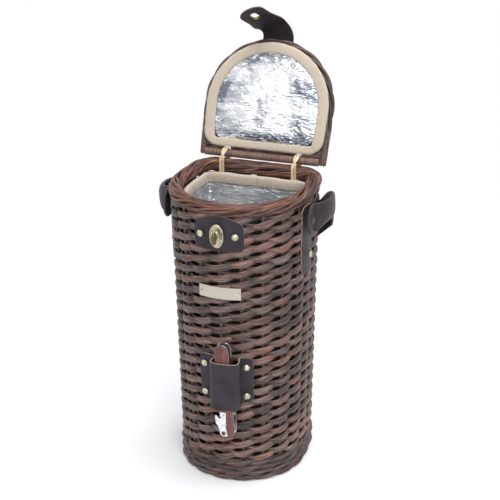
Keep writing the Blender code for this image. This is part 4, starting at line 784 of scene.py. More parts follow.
def floor_rods():
    """Rings of the foot's plan drawn smaller and smaller, and the sticks that they pass."""
    edge = on_wall(round_wall(np.linspace(-0.5, 0.5, 161), 0.0), 0.0, -WALL - GAP)[0]
    middle = np.array([0.0, edge[:, 1].mean(), 0.0])
    share = np.linspace(0.965, 0.10, 19)
    path = middle + (edge - middle)[None] * share[:, None, None]
    angle = np.linspace(0, 14 * math.pi, 161)[None] + math.pi * np.arange(len(share))[:, None]
    path[..., 2] = 0.003 + 0.0011 * np.cos(angle)
    rings = rods(path, (0, 0, 1), 0.0017, 0.0017, 6)
    sticks = []
    for turn in np.arange(7) * math.pi / 7:
        way = np.array([math.cos(turn), math.sin(turn), 0])
        reach = 1 / np.sqrt((way[0] / 0.061) ** 2 + (way[1] / 0.055) ** 2)
        sticks.append(middle + np.linspace(-reach, reach, 12)[:, None] * way + (0, 0, 0.003))
    grid = rods(np.array(sticks), (0, 0, 1), 0.0013, 0.0022, 6)
    for entry in (rings, grid):
        entry["grid"][..., 2] = np.clip(entry["grid"][..., 2], 0.0001, 0.0059)
    return [rings, grid]


add_piece("woven_floor", floor_rods(), SHADE_WILLOW, "basket", "willow", "base_weave")

# %% [markdown]
# ## The rolled border
# Thirteen rods wind round the rim together. Their middle lines follow a rounded square that is
# smaller than the border by one rod, and each makes two turns on its way round the basket.

# %% Border


def border_rods():
    """The border's rods, wound round a rounded square."""
    strands, turns, radius = 13, 2, 0.00175
    share = np.linspace(-0.5, 0.5, 241)[None, :]
    angle = 2 * math.pi * (turns * share + np.arange(strands)[:, None] / strands)
    angle = angle + 0.22 * wander(strands, 241)
    wide, tall = (squared(wave, 2 / 2.6) for wave in (np.cos(angle), np.sin(angle)))
    out = BORDER_PROUD - BORDER_WIDTH / 2 + (BORDER_WIDTH / 2 - radius) * wide
    height = HEIGHT - BORDER_HEIGHT / 2 + (BORDER_HEIGHT / 2 - radius) * tall
    path, normal = on_wall(round_wall(share, height), height, out)
    path[..., 2] += 0.0014 * ramp(path[..., 1], 0.0655, 0.005) * ramp(height, 0.331, 0.005)
    tone = 0.5 + 0.8 * wander(strands, 241, (1, 2, 5))
    return rods(path, normal, radius, radius, 10, np.clip(tone, 0, 1))


add_piece("rolled_border", [border_rods()], BORDER_WILLOW, "basket", "willow", "rim_border")
print("border:", PIECES["rolled_border"], "faces")

# %% [markdown]
# ## The cool bag
# The bag is a double wall of foil with padding between. It is drawn a little thin, and a cloth
# simulation with air pressure and no gravity swells it. After that the foil is crumpled.

# %% Puffing and the bag


def puff(piece, pressure, cap, frames=20):
    """Swell a closed mesh with Blender's cloth, no point further than the cap, and keep it."""
    before = read_points(piece.data)
    cloth = piece.modifiers.new("puff", "CLOTH")
    settings = cloth.settings
    settings.quality = 4
    settings.mass = 0.2
    settings.use_pressure = True
    settings.uniform_pressure_force = pressure
    settings.tension_stiffness = settings.compression_stiffness = 20
    settings.effector_weights.gravity = 0
    cloth.collision_settings.use_collision = False
    cloth.point_cache.frame_end = frames
    scene = bpy.context.scene
    for step in range(1, frames + 1):
        scene.frame_set(step)
    result = piece.evaluated_get(bpy.context.evaluated_depsgraph_get())
    move = read_points(result.data) - before
    piece.modifiers.remove(cloth)
    scene.frame_set(1)
    far = np.linalg.norm(move, axis=1, keepdims=True)
    move *= np.minimum(1, cap / np.maximum(far, 1e-9))
    print("%s puffed by up to %.1f mm" % (piece.name, 1000 * min(far.max(), cap)))
    write_points(piece.data, before + move)


def crumple(piece, size, depth, seed=3):
    """Push every point out and in along its normal by the creases formula."""
    points = read_points(piece.data).astype(float)
    normals = np.empty(points.size, np.float32)
    piece.data.vertex_normals.foreach_get("vector", normals)
    fine = creases(points, size * 0.4, seed + 1)
    shift = depth * (creases(points, size, seed) + 0.4 * fine - 0.85)
    write_points(piece.data, points + normals.reshape(-1, 3) * shift[:, None])


BAG_OUT = -WALL - GAP
BAG_IN = BAG_OUT - 0.0046
BAG_BOTTOM, BAG_TOP = 0.0063, HEIGHT - BORDER_HEIGHT - GAP
HEM_TOP = HEIGHT - 0.0125


def bag_grid(columns=110):
    """Rings from the middle of the outer floor, up outside, over the top and down inside."""
    share = np.linspace(-0.5, 0.5, columns, endpoint=False)
    rings, inside = [], []
    for shrink in (0.02, 0.35, 0.7, 0.92):
        rings.append((BAG_BOTTOM + 0.001, BAG_OUT, shrink))
    rings += [(z, BAG_OUT, 1) for z in np.linspace(BAG_BOTTOM + 0.003, BAG_TOP - 0.002, 40)]
    rings += [(BAG_TOP, (BAG_OUT + BAG_IN) / 2, 1)]
    rings += [(z, BAG_IN, 1) for z in np.linspace(BAG_TOP - 0.002, BAG_BOTTOM + 0.008, 64)]
    rings += [(BAG_BOTTOM + 0.006, BAG_IN, shrink) for shrink in (0.92, 0.7, 0.35, 0.02)]
    grid = []
    for height, out, shrink in rings:
        ring = on_wall(round_wall(share, height), height, out)[0]
        middle = ring.mean(axis=0)
        grid.append(middle + (ring - middle) * shrink)
        # The rings outside, which face the wall, get cut 1: the foil is painted near black there, a
        # painted shade that shows through the gaps of the weave.
        inside.append(0.0 if out == BAG_IN else 1.0)
    return part(np.array(grid), close_columns=True, cut=np.array(inside)[None, :, None])


bag = make_piece("cool_bag", [bag_grid()], BAG_FOIL, sharp=180)
puff(bag, 2.0, 0.0006)
crumple(bag, 0.016, 0.0012)
place_piece(bag, "basket", "silver_foil", "liner_bag")

# %% [markdown]
# The bag's mouth has a cloth hem: a band with a rounded section that waves a little, and a row of
# stitches below it.

# %% Mouth hem


def band_section(half_wide, half_tall, count=14, power=2.6):
    """Points of a rounded band's section."""
    angle = full_turn(count)
    return (half_wide * squared(np.cos(angle), 2 / power),
            half_tall * squared(np.sin(angle), 2 / power))


def mouth_hem():
    """The hem's band on the bag's inner face."""
    wide, tall = band_section(0.0026, 0.0064)
    share = np.linspace(-0.5, 0.5, 220, endpoint=False)[:, None]
    wave = wander(1, 221, (9, 17, 31))[0, :-1, None]
    out = BAG_IN - 0.0024 + wide + 0.00025 * wave
    height = HEM_TOP - 0.006 + tall + 0.0006 * wander(1, 221, (4, 11, 19))[0, :-1, None]
    grid = on_wall(round_wall(share, height), height, out)[0]
    return part(grid, True, True, rod=stacked(round_wall(share), tall, wide))


def stitch_rods(places, way, out, length=0.0026, radius=0.0003):
    """Short threads: each is a small arch along its way that rises off the cloth."""
    t = np.linspace(-1, 1, 5)
    path = places[:, None] + way[:, None] * (t * length / 2)[None, :, None]
    path = path + out[:, None] * (radius * (0.9 - 1.2 * t ** 2))[None, :, None]
    return rods(path, out[:, None], radius, radius, 6)


def mouth_stitches(step=0.0042):
    """Stitches through the hem, low on its inner face."""
    count = int(2 * HALF_LENGTH * 0.8 / step)
    share = np.linspace(-0.5, 0.5, count, endpoint=False)
    height = np.full(count, HEM_TOP - 0.010)
    place, normal = on_wall(round_wall(share, height), height, BAG_IN - 0.0050)
    way = unit(np.roll(place, -1, axis=0) - np.roll(place, 1, axis=0))
    return stitch_rods(place, way, -normal)


hem = add_piece("mouth_hem", [mouth_hem(), mouth_stitches()], CLOTH, "basket", "beige_cloth",
                "liner_hem", sharp=180)
print("bag and hem:", PIECES["cool_bag"], PIECES["mouth_hem"], "faces")

# %% [markdown]
# ## The lid
# The lid is drawn shut, because its sizes are plain there, and then turned back 113 degrees about
# its hinge, which is how the basket stands.

# %% Lid sizes and turning
LID_WIDTH, LID_FRONT, LEG_NARROWING = 0.1546, 0.010 - HALF_DEPTH, 0.0018
HOOP_RADIUS, BAR_RADIUS, LOOP_HALF = 0.004, 0.0042, 0.0011
HINGE = np.array([0.0, HALF_DEPTH - 0.001, HEIGHT + BAR_RADIUS + 0.0018])
LID_SPRING = HINGE[1] - 0.058
LID_BOTTOM = HEIGHT + 0.0005
PANEL_BOTTOM = LID_BOTTOM + 0.005 + GAP
HOOP_Z, LID_TOP = PANEL_BOTTOM + HOOP_RADIUS, PANEL_BOTTOM + 2 * HOOP_RADIUS
LID_BACK = HINGE[1] - BAR_RADIUS - 0.0008 - 2 * LOOP_HALF
LOOP_SPAN = 0.086
OPEN_ANGLE = 113.0
OPEN = np.array(Matrix.Rotation(-math.radians(OPEN_ANGLE), 3, "X"))


def opened(points):
    """Points of the shut lid, turned open about the hinge."""
    return (np.asarray(points) - HINGE) @ OPEN.T + HINGE


def open_parts(entries):
    """Parts of the shut lid, turned open."""
    for entry in entries:
        entry["grid"] = opened(entry["grid"])
    return entries


def lid_curve(inset, back_y, count=121):
    """The lid's plan, drawn in by an inset: two legs from back_y and half an ellipse in front."""
    half, reach = LID_WIDTH / 2 - inset, LID_SPRING - LID_FRONT - inset
    turn = np.linspace(0, math.pi, count)
    arc = np.stack([half * np.cos(turn), LID_SPRING - reach * np.sin(turn)], axis=1)
    foot = half - LEG_NARROWING
    legs = np.linspace(0, 1, 40)[:-1, None]
    right = np.array([foot, back_y]) * (1 - legs) + arc[0] * legs
    left = right[::-1] * (-1, 1)
    return np.concatenate([right, arc, left])


def evened(line, count, closed=False):
    """A line with its points spread evenly."""
    line = np.concatenate([line, line[:1]]) if closed else line
    run = travelled(line)
    at = np.linspace(0, run[-1], count, endpoint=not closed)
    return np.stack([np.interp(at, run, line[:, axis]) for axis in range(line.shape[1])], axis=1)


# %% [markdown]
# The frame is three thin rods twisted together, and its two feet are bound with fine cane. The
# hinge bar is bound too: the binding's radius follows |cos| of the length less half the angle, so
# its ridges run round as a screw.

# %% Frame, hinge bar and woven panel


def twisted(line, up, radius, strands, pitch, sides=8, squeeze=1.0):
    """Strands that turn about a line together, side by side."""
    way = unit(np.gradient(line, axis=0))
    across = unit(np.cross(way, up))
    over = np.cross(across, way)
    run = travelled(line)
    thin = radius / (1 + 1 / math.sin(math.pi / strands))
    angle = 2 * math.pi * (run / pitch + np.arange(strands)[:, None] / strands)
    swing = (radius - thin) * np.stack([np.cos(angle), np.sin(angle)], axis=-1)
    paths = line + swing[..., :1] * across + swing[..., 1:] * over * squeeze
    return rods(paths, np.broadcast_to(across, paths.shape), thin * 1.15, thin * 1.15, sides)


def bound(line, up, radius, pitch=0.0024, relief=0.0005, sides=18, samples=6):
    """A rod bound with fine cane: radius less relief (1 - |cos(pi length / pitch - angle / 2)|)."""
    total = np.linalg.norm(np.diff(line, axis=0), axis=1).sum()
    line = evened(line, int(total / pitch * samples))
    way = unit(np.gradient(line, axis=0))
    across = unit(np.cross(way, up))
    over = np.cross(across, way)
    run = np.linspace(0, total, len(line))[:, None]
    angle = full_turn(sides)
    wave = np.abs(np.cos(math.pi * run / pitch - angle / 2)) ** 0.7
    size = radius - relief * (1 - wave)
    size[[0, -1]] *= 0.05
    a, b = size * np.cos(angle), size * np.sin(angle)
    grid = line[:, None] + a[..., None] * across[:, None] + b[..., None] * over[:, None]
    rod = stacked(angle * radius, run * 6, wave * 0.001)
    tone = 0.25 + 0.6 * RANDOM.uniform(0, 1, (len(line), 1))
    return part(grid, close_columns=True, rod=rod, tone=tone)


def frame_parts():
    """The lid's frame with its bound feet."""
    flat = lid_curve(HOOP_RADIUS, HINGE[1] + 0.0025)
    line = evened(np.column_stack([flat, np.full(len(flat), HOOP_Z)]), 260)
    feet = [bound(line[::side][:30], (0, 0, 1), HOOP_RADIUS + 0.0002) for side in (1, -1)]
    return [twisted(line, (0, 0, 1), HOOP_RADIUS, 3, 0.085)] + feet


def bar_parts():
    """The bound hinge bar."""
    half = LID_WIDTH / 2 - LEG_NARROWING - 2 * HOOP_RADIUS + 0.001
    ends = np.array([[-half, HINGE[1], HINGE[2]], [half, HINGE[1], HINGE[2]]])
    return [bound(evened(ends, 50), (0, 0, 1), BAR_RADIUS + 0.0004)]


def panel_parts():
    """The lid's weave: sticks from back to front, and rows that pass over and under them."""
    half = LID_WIDTH / 2 - LEG_NARROWING - 2 * HOOP_RADIUS
    reach = LID_SPRING - LID_FRONT - 2 * HOOP_RADIUS
    middle_z, sticks, count = PANEL_BOTTOM + 0.0038, 7, 26
    spacing = 2 * half / (sticks + 1)

    def width_at(y):
        ahead = np.clip((LID_SPRING - y) / reach, 0, 1)
        return half * np.sqrt(1 - ahead ** 2)

    notch, free = LOOP_SPAN / 2, 0.0040
    runs = []
    for row, place in enumerate(np.linspace(LID_BACK + 0.0006, LID_SPRING - reach * 0.97, count)):
        w = width_at(place) + 0.001
        cuts = [(-w, w)]
        if place > 0.0535:
            cuts = [(-w, -notch - free), (-notch + free, notch - free), (notch + free, w)]
        runs += [(row, place, a, b) for a, b in cuts]
    row, place, start, end = (np.array(v)[:, None] for v in zip(*runs))
    x = start + (end - start) * np.linspace(0, 1, 90)[None, :]
    z = middle_z + 0.0021 * np.cos(math.pi * x / spacing + math.pi * row)
    path = stacked(x, place + 0.0003 * np.sin(math.pi * x / spacing), z)
    rows = rods(path, (0, 0, 1), 0.0016, 0.0024, 8)
    x = spacing * (np.arange(sticks) - (sticks - 1) / 2)[:, None]
    front = LID_SPRING - reach * np.sqrt(1 - (x / half) ** 2)
    back = np.where(np.abs(np.abs(x) - notch) < 0.0065, 0.053, LID_BACK)
    y = back + (front - back) * np.linspace(0, 1, 20)[None, :]
    return [rows, rods(stacked(x, y, middle_z), (0, 0, 1), 0.0013, 0.0024, 8)]


add_piece("lid_frame", open_parts(frame_parts()), SHADE_WILLOW, "lid", "willow", "lid_hoop")
add_piece("bound_hinge_bar", open_parts(bar_parts()), BAR_CANE, "lid", "willow", "lid_hinge_bar")
add_piece("lid_panel", open_parts(panel_parts()), SHADE_WILLOW, "lid", "willow", "lid_weave")
print("lid frame:", PIECES["lid_frame"], PIECES["bound_hinge_bar"], PIECES["lid_panel"], "faces")

# %% [markdown]
# ## The lid's padding
# A cloth band runs round a foil pad. Both follow the lid's plan with its corners rounded: the
# outline is spread evenly and each point takes the mean of its neighbours.

# %% Lid hem and pad
HEM_INSET, HEM_WIDTH = 0.0045, 0.0125


def soft_loop(inset, count=220, reach=6):
    """The lid's closed plan at an inset, with round corners."""
    curve = lid_curve(inset, LID_BACK - inset + HEM_INSET)
    even = evened(curve, count, closed=True)
    return sum(np.roll(even, shift, axis=0) for shift in range(-reach, reach + 1)) / (2 * reach + 1)


def lid_hem_parts():
    """The cloth band, between the outer loop and the inner loop."""
    middle = soft_loop(HEM_INSET + HEM_WIDTH / 2)
    inward = unit(middle.mean(axis=0) - middle)
    way = unit(np.roll(middle, -1, axis=0) - np.roll(middle, 1, axis=0))
    inward = unit(inward - (inward * way).sum(axis=1, keepdims=True) * way)
    wide, tall = band_section(HEM_WIDTH / 2, 0.0026, 18, 3.0)
    ripple = 1 + 0.05 * wander(1, 221, (17, 29, 41))[0, :-1, None]
    low = ramp(middle[:, 1:], LID_BACK - 0.012, 0.004)
    middle[:, 1:] += 0.0016 * low
    slim = 1 - 0.25 * low
    wide = wide * slim
    grid = np.zeros((220, 18, 3))
    grid[..., :2] = middle[:, None] + inward[:, None] * (wide * ripple)[..., None]
    grid[..., 2] = LID_BOTTOM + 0.0026 + tall * ripple
    run = np.linspace(0, 0.42, 220)[:, None]
    count = 96
    pick = np.linspace(0, 220, count, endpoint=False).astype(int)
    place = middle[pick] + inward[pick] * (HEM_WIDTH / 2 * slim[pick] - 0.0022)
    place = np.column_stack([place, np.full(count, LID_BOTTOM + 0.0003)])
    way3 = np.column_stack([way[pick], np.zeros(count)])
    below = np.broadcast_to((0.0, 0.0, -1.0), place.shape)
    return [part(grid, True, True, rod=stacked(run, wide, tall)), stitch_rods(place, way3, below)]


def pad_parts():
    """The pad: flat on the lid and crowned on its face, whose edge dips under the band."""
    edge = soft_loop(HEM_INSET + HEM_WIDTH - 0.0025, reach=8)
    edge[:, 1] += 0.0022 * ramp(edge[:, 1], LID_BACK - 0.016, 0.005)
    middle = edge.mean(axis=0)
    rings = [(0.003, 0.0046), (0.5, 0.0046), (0.97, 0.0044), (1.0, 0.0030)]
    rings += [(share, 0.0018 - 0.0036 * (1 - share ** 3.0)) for share in np.linspace(0.98, 0.003, 40)]
    shares = np.array([share for share, _ in rings])[:, None]
    grid = np.zeros((len(rings), 220, 3))
    for row, (share, rise) in enumerate(rings):
        grid[row, :, :2] = middle + (edge - middle) * share
        grid[row, :, 2] = LID_BOTTOM + rise
    # Painted reflection: the foil's tone stays low, so it stays white, in a strip along the middle that
    # widens towards the hinge; it rises to the sides, more to +X, and near the edge, where the foil turns
    # blue-grey.
    spread = 0.012 + 0.16 * np.clip(grid[..., 1] + 0.035, 0, 0.1)
    aside = ramp(np.abs(grid[..., 0] - 0.004), spread, 0.012)
    painted_reflection_dimming = np.maximum(aside * (0.85 + 0.15 * np.sign(grid[..., 0])), ramp(shares, 0.66, 0.16))
    return [part(grid, close_columns=True, tone=painted_reflection_dimming)]


lid_hem = add_piece("lid_hem_band", open_parts(lid_hem_parts()), CLOTH, "lid", "beige_cloth",
                    "lid_hem", sharp=180)
pad = make_piece("lid_foil_pad", open_parts(pad_parts()), FOIL, sharp=180)
puff(pad, 3.0, 0.0012)
crumple(pad, 0.011, 0.0016, seed=8)
place_piece(pad, "lid", "silver_foil", "lid_pad")
print("lid padding:", PIECES["lid_hem_band"], PIECES["lid_foil_pad"], "faces")

# %% [markdown]
# ## The cane loops
# Each loop is two strands side by side that change places once above the rim.

# %% Hinge loops


def loop_line():
    """A loop in Y and Z: up the rim's inner face, over the bar and down behind the rim."""
    around = BAR_RADIUS + 0.0004 + LOOP_HALF
    inner = HALF_DEPTH + BORDER_PROUD - BORDER_WIDTH - GAP - LOOP_HALF
    outer = max(HALF_DEPTH + BORDER_PROUD + GAP + LOOP_HALF, HINGE[1] + around)
    foot, bar_y, bar_z = HEIGHT - 0.0122, HINGE[1], HINGE[2]
    rise = np.linspace(0, math.pi / 2, 24)
    front = np.column_stack([bar_y - (bar_y - inner) * np.cos(rise),
                             HEIGHT + (bar_z + around - HEIGHT) * np.sin(rise)])
    fall = np.linspace(math.pi / 2, 0, 14)[1:]
    back = np.column_stack([bar_y + (outer - bar_y) * np.cos(fall), bar_z + around * np.sin(fall)])
    return np.concatenate([[(inner, foot), (inner, foot + 0.006)], front, back,
                           [(outer, foot + 0.006), (outer, foot)]])


def loop_parts(x):
    """Two strands of a loop at x, 1.6 mm to each side, which change sides by a smooth step."""
    line = evened(loop_line(), 70)
    share = ramp(np.linspace(0, 1, 70), 0.22, 0.25)
    swap = 1 - 2 * smooth(share)
    over = np.sin(math.pi * share) * 0.0007
    paths, normals = [], []
    way = unit(np.gradient(line, axis=0))
    out = np.column_stack([-way[:, 1], way[:, 0]])
    for sign in (1, -1):
        lifted = line + out * (sign * over)[:, None]
        paths.append(np.column_stack([x + sign * 0.0016 * swap, lifted]))
        normals.append(np.column_stack([np.zeros(70), out]))
    return rods(np.array(paths), np.array(normals), 0.0010, 0.0015, 10)


for side, x in (("left", -LOOP_SPAN / 2), ("right", LOOP_SPAN / 2)):
    add_piece("cane_loop_" + side, [loop_parts(x)], CANE, "basket", "straw_cane", "hinge_loop_" + side)

# %% [markdown]
# ## Leather on the wall
# Each leather piece is a sheet on the wall with its own outline. A line is pressed along its
# edge, and its rim is the raw, pale hide.

# %% Latch plate, sleeve and side tabs
# The part has the same names and values for these measures.
LATCH, LATCH_WIDTH, LATCH_RIVET_SPAN = HEIGHT - 0.034, 0.0565, 0.0385
SLEEVE_WIDTH, SLEEVE_SHIFT, SLEEVE_RIVET_SPAN = 0.062, 0.005, 0.0474
SLEEVE_TOP, SLEEVE_DIP, SLEEVE_BOTTOM, SLEEVE_TONGUE = 0.160, 0.0005, 0.1065, 0.0045
CARRY_WIDTH, CARRY_THICK, CARRY_LEVEL = 0.032, 0.003, HEIGHT - 0.031
CORKSCREW_STANDOFF, CORKSCREW_DEPTH, PIN_HEAD, TUNNEL_GAP = 0.0028, 0.0118, 0.0007, 0.0016


def latch_plate_parts():
    """The plate under the lock: an arch with a shoulder at each side."""
    half, shoulder = LATCH_WIDTH / 2, 0.009
    share = np.linspace(-1, 1, 61)
    away = np.abs(share)
    corner = ramp(away, 0.88, 0.12) ** 2
    tops = LATCH + 0.0215 - shoulder * ramp(away, 0.15, 0.85) ** 1.4 - shoulder * 0.5 * corner
    bottoms = LATCH - 0.018 + shoulder * 0.45 * corner
    back = wall_sheet(share * half, bottoms, tops, 61)
    return sheet_parts(back, LEATHER, -1.0, groove=0.0002, worn=0.8)


def sleeve_parts():
    """The sleeve: two flanges, and between them a tunnel whose section is a rounded box."""
    depth = CORKSCREW_STANDOFF + CORKSCREW_DEPTH + PIN_HEAD + TUNNEL_GAP + GAP
    half, power = SLEEVE_WIDTH / 2, 2 / 5.0
    turn = np.linspace(-math.pi / 2, math.pi / 2, 61)
    across = 0.0022 + 0.015 * squared(np.sin(turn), power)
    rise = depth * np.abs(np.cos(turn)) ** power
    left, right = np.linspace(-half, across[0], 14)[:-1], np.linspace(across[-1], half, 14)[1:]
    arcs = np.concatenate([left, across, right])
    lift = np.pad(rise, 13)
    share = np.clip(lift / depth, 0, 1)
    away = np.abs(arcs) / half
    corner = ramp(away, 0.88, 0.12) ** 2
    tops = SLEEVE_TOP - SLEEVE_DIP * share - 0.004 * corner
    bottoms = SLEEVE_BOTTOM - SLEEVE_TONGUE * share + 0.003 * corner
    heights = np.sort(np.concatenate([np.linspace(0, 1, 25), [0.008, 0.992]]))[:, None]
    back = on_wall(SLEEVE_SHIFT + arcs, bottoms + heights * (tops - bottoms), GAP + lift)[0]
    return sheet_parts(back, LEATHER, -1.0, bevel=0.001, groove=0.00015)


def side_tab_parts(sign):
    """The tab under the strap's root, down to its rivet."""
    share = np.linspace(-1, 1, 31)
    tops = CARRY_LEVEL + CARRY_WIDTH / 2 - GAP - 0.0048 * share ** 4
    bottoms = HEIGHT - 0.097 + 0.0084 * share ** 4
    arcs = sign * (SIDE_ARC * float(level_scale(CARRY_LEVEL)) - 0.010) + share * 0.012
    return sheet_parts(wall_sheet(arcs, bottoms, tops, 25, 61), LEATHER, -1.0, groove=0.0002)


def leather_piece(name, parts, body, node):
    """A leather piece and the node that it stands for."""
    return add_piece(name, parts, HIDE_SURFACE, body, "dark_leather", node, weld=1e-6)


leather_piece("latch_leather", latch_plate_parts(), "basket", "latch_plate")
leather_piece("sleeve_leather", sleeve_parts(), "basket", "corkscrew_sleeve")
for side, sign in (("left", -1), ("right", 1)):
    leather_piece("side_tab_" + side, side_tab_parts(sign), "basket", "strap_tab_" + side)
print("leather on the wall:", PIECES["latch_leather"], PIECES["sleeve_leather"], "faces")

# %% [markdown]
# ## The carry strap
# The strap has fallen back behind the basket. Its middle line is a Bezier curve with seven handles,
# the same as the part's, so it keeps clear of the wall.

# %% Carry strap


def carry_root():
    """Where the strap turns at the right."""
    stand = 2 * GAP + LEATHER + CARRY_THICK / 2
    return np.array([WIDTH / 2 * float(level_scale(CARRY_LEVEL)) + stand, SPRING - 0.013, CARRY_LEVEL])


def carry_line(count):
    """The right half of the middle line, from the root to the back centre."""
    root, back_z = carry_root(), CARRY_LEVEL - 0.076
    back_y = HALF_DEPTH * float(level_scale(back_z + CARRY_WIDTH / 2)) + 0.0015 + CARRY_THICK / 2
    start = root + (0, 0.006, 0)
    handles = [start, start + (0, 0.006, 0), start + (0.033, 0, 0), start + (0.022, 0.086, 0),
               (0.073, back_y + 0.010, CARRY_LEVEL - 0.004), (0.044, back_y, back_z), (0, back_y, back_z)]
    t, last = np.linspace(0, 1, count)[:, None], len(handles) - 1
    return sum(math.comb(last, k) * (1 - t) ** (last - k) * t ** k * np.asarray(handle)
               for k, handle in enumerate(handles))


def carry_parts():
    """The strap's sheet, with a round end at each root."""
    lead = np.sin(np.linspace(-math.pi / 2 * 0.93, 0, 14))[:-1]
    start = carry_root() + np.outer(lead, (0, 0.010, 0))
    run = np.concatenate([start, [carry_root()], carry_line(90)])
    late = ramp(np.abs(run[:, 0]), 0.079, 0.010)
    run[:, 2] += (CARRY_LEVEL - run[:, 2]) * 0.4 * smooth(late)
    widths = np.full(len(run), CARRY_WIDTH / 2)
    widths[:len(lead)] *= np.sqrt(1 - lead ** 2)
    line = np.concatenate([run, (run[:-1] * (-1, 1, 1))[::-1]])
    widths = np.concatenate([widths, widths[:-1][::-1]])
    along = unit(np.gradient(line, axis=0))
    outward = unit(np.column_stack([along[:, 1], -along[:, 0], np.zeros(len(line))]))
    upward = np.cross(outward, along)
    share = np.sort(np.concatenate([np.linspace(-1, 1, 21), [-0.975, 0.975]]))
    back = line[:, None] + share[None, :, None] * (upward * widths[:, None])[:, None]
    back = back - outward[:, None] * CARRY_THICK / 2
    bend = ramp(np.abs(back[..., 0]), 0.086, 0.012)
    below, above = np.clip(-share, 0, 1) ** 2, np.clip(share - 0.1, 0, 1) ** 2
    left = back[..., 0] < 0
    inward = np.where(left, 0.003 * below + 0.007 * above, 0.006 * below + 0.002 * above)
    back[..., 0] -= np.sign(back[..., 0]) * bend * inward
    back[..., 0] += np.where(left, -0.0085, -0.0015) * bend
    back[..., 2] += bend * np.where(left, 0.002 * below - 0.007 * above, 0.007 * below - 0.001 * above)
    return sheet_parts(back, CARRY_THICK, -1.0, groove=0.0003, cut_edge=0.4)


leather_piece("carry_strap_leather", carry_parts(), "carry_strap", "carry_strap")

# %% [markdown]
# ## The latch strap
# The strap is drawn buckled: flat on the shut lid, round the front and down over the lock. Then
# each point is turned open with the lid, and turned back about the strap's own axis by its share of
# 31.558 degrees. The share grows smoothly from the root, so the leather leans over to one side
# while its slot still meets the knob when the strap is buckled again.

# %% Latch strap
STRAP_THICK = 0.0022
STRAP_Z = LID_TOP + GAP + STRAP_THICK / 2
OVAL_RISE, EYELET_RISE, PLAY = 0.0015, 0.0007, 0.0005
LOCK_Y = -(HALF_DEPTH * float(level_scale(LATCH)) + 2 * GAP + LEATHER)
STRAP_Y = LOCK_Y - OVAL_RISE - EYELET_RISE - PLAY - STRAP_THICK / 2
SLOT_WIDTH, SLOT_LENGTH, EYELET_WALL = 0.0076, 0.0174, 0.0015
FLEX_PLACE = np.array([0.0, 0.133452, 0.467226])
FLEX_AXIS = unit(np.array([0.23723, 0.964235, -0.118216]))
FLEX_TURN = math.radians(31.558)
BLEND_START, BLEND_END = np.array([0.0, 0.1346, 0.4644]), np.array([0.0, 0.1263, 0.4848])


def turn_about(points, place, axis, angle):
    """Points turned about a line, each by its own angle (Rodrigues' formula)."""
    arm = points - place
    c, s = np.cos(angle)[..., None], np.sin(angle)[..., None]
    return place + arm * c + np.cross(axis, arm) * s + axis * (arm @ axis)[..., None] * (1 - c)


def flexed(points):
    """Points of the open, buckled strap, turned back by the share that their resting place has."""
    way = BLEND_END - BLEND_START
    rest = points
    for _ in range(40):
        t = np.clip((rest - BLEND_START) @ way / (way @ way), 0, 1)
        rest = turn_about(points, FLEX_PLACE, FLEX_AXIS, -FLEX_TURN * smooth(t))
    return rest


def strap_middle():
    """The buckled strap's middle line in Y and Z and its half width, from the tab's end."""
    bend, root_y = 0.015, LID_FRONT - 0.0006
    turn = np.linspace(0, math.pi / 2, 16)
    arch = np.column_stack([STRAP_Y + bend - bend * np.sin(turn), STRAP_Z - bend * (1 - np.cos(turn))])
    low, tip = LATCH - 0.020, 0.014
    straight = np.linspace(STRAP_Z - bend, low + tip, 26)[1:]
    rounding = np.sin(np.linspace(0, math.pi / 2, 12)[1:] * 0.97)
    z = np.concatenate([np.full(26, STRAP_Z), arch[:, 1], straight, low + tip - tip * rounding])
    flat = np.linspace(LID_FRONT + 0.034, root_y, 26)
    y = np.concatenate([flat, arch[:, 0], np.full(25 + 11, STRAP_Y)])
    narrowing = np.clip((STRAP_Z - z) / (STRAP_Z - LATCH - tip), 0, 1)
    half = 0.018 - 0.004 * narrowing
    half[-11:] = tip * np.sqrt(1 - rounding ** 2)
    half[0], half[1] = 0.0172, 0.0178
    return np.column_stack([y, z]), half


def slot_outline(width, length, count=24):
    """Points round an upright slot with round ends, in X and Z."""
    radius, straight = width / 2, (length - width) / 2
    turn = np.linspace(0, math.pi, count // 2)
    top = np.stack([radius * np.cos(turn), straight + radius * np.sin(turn)], axis=1)
    return np.concatenate([top, -top])


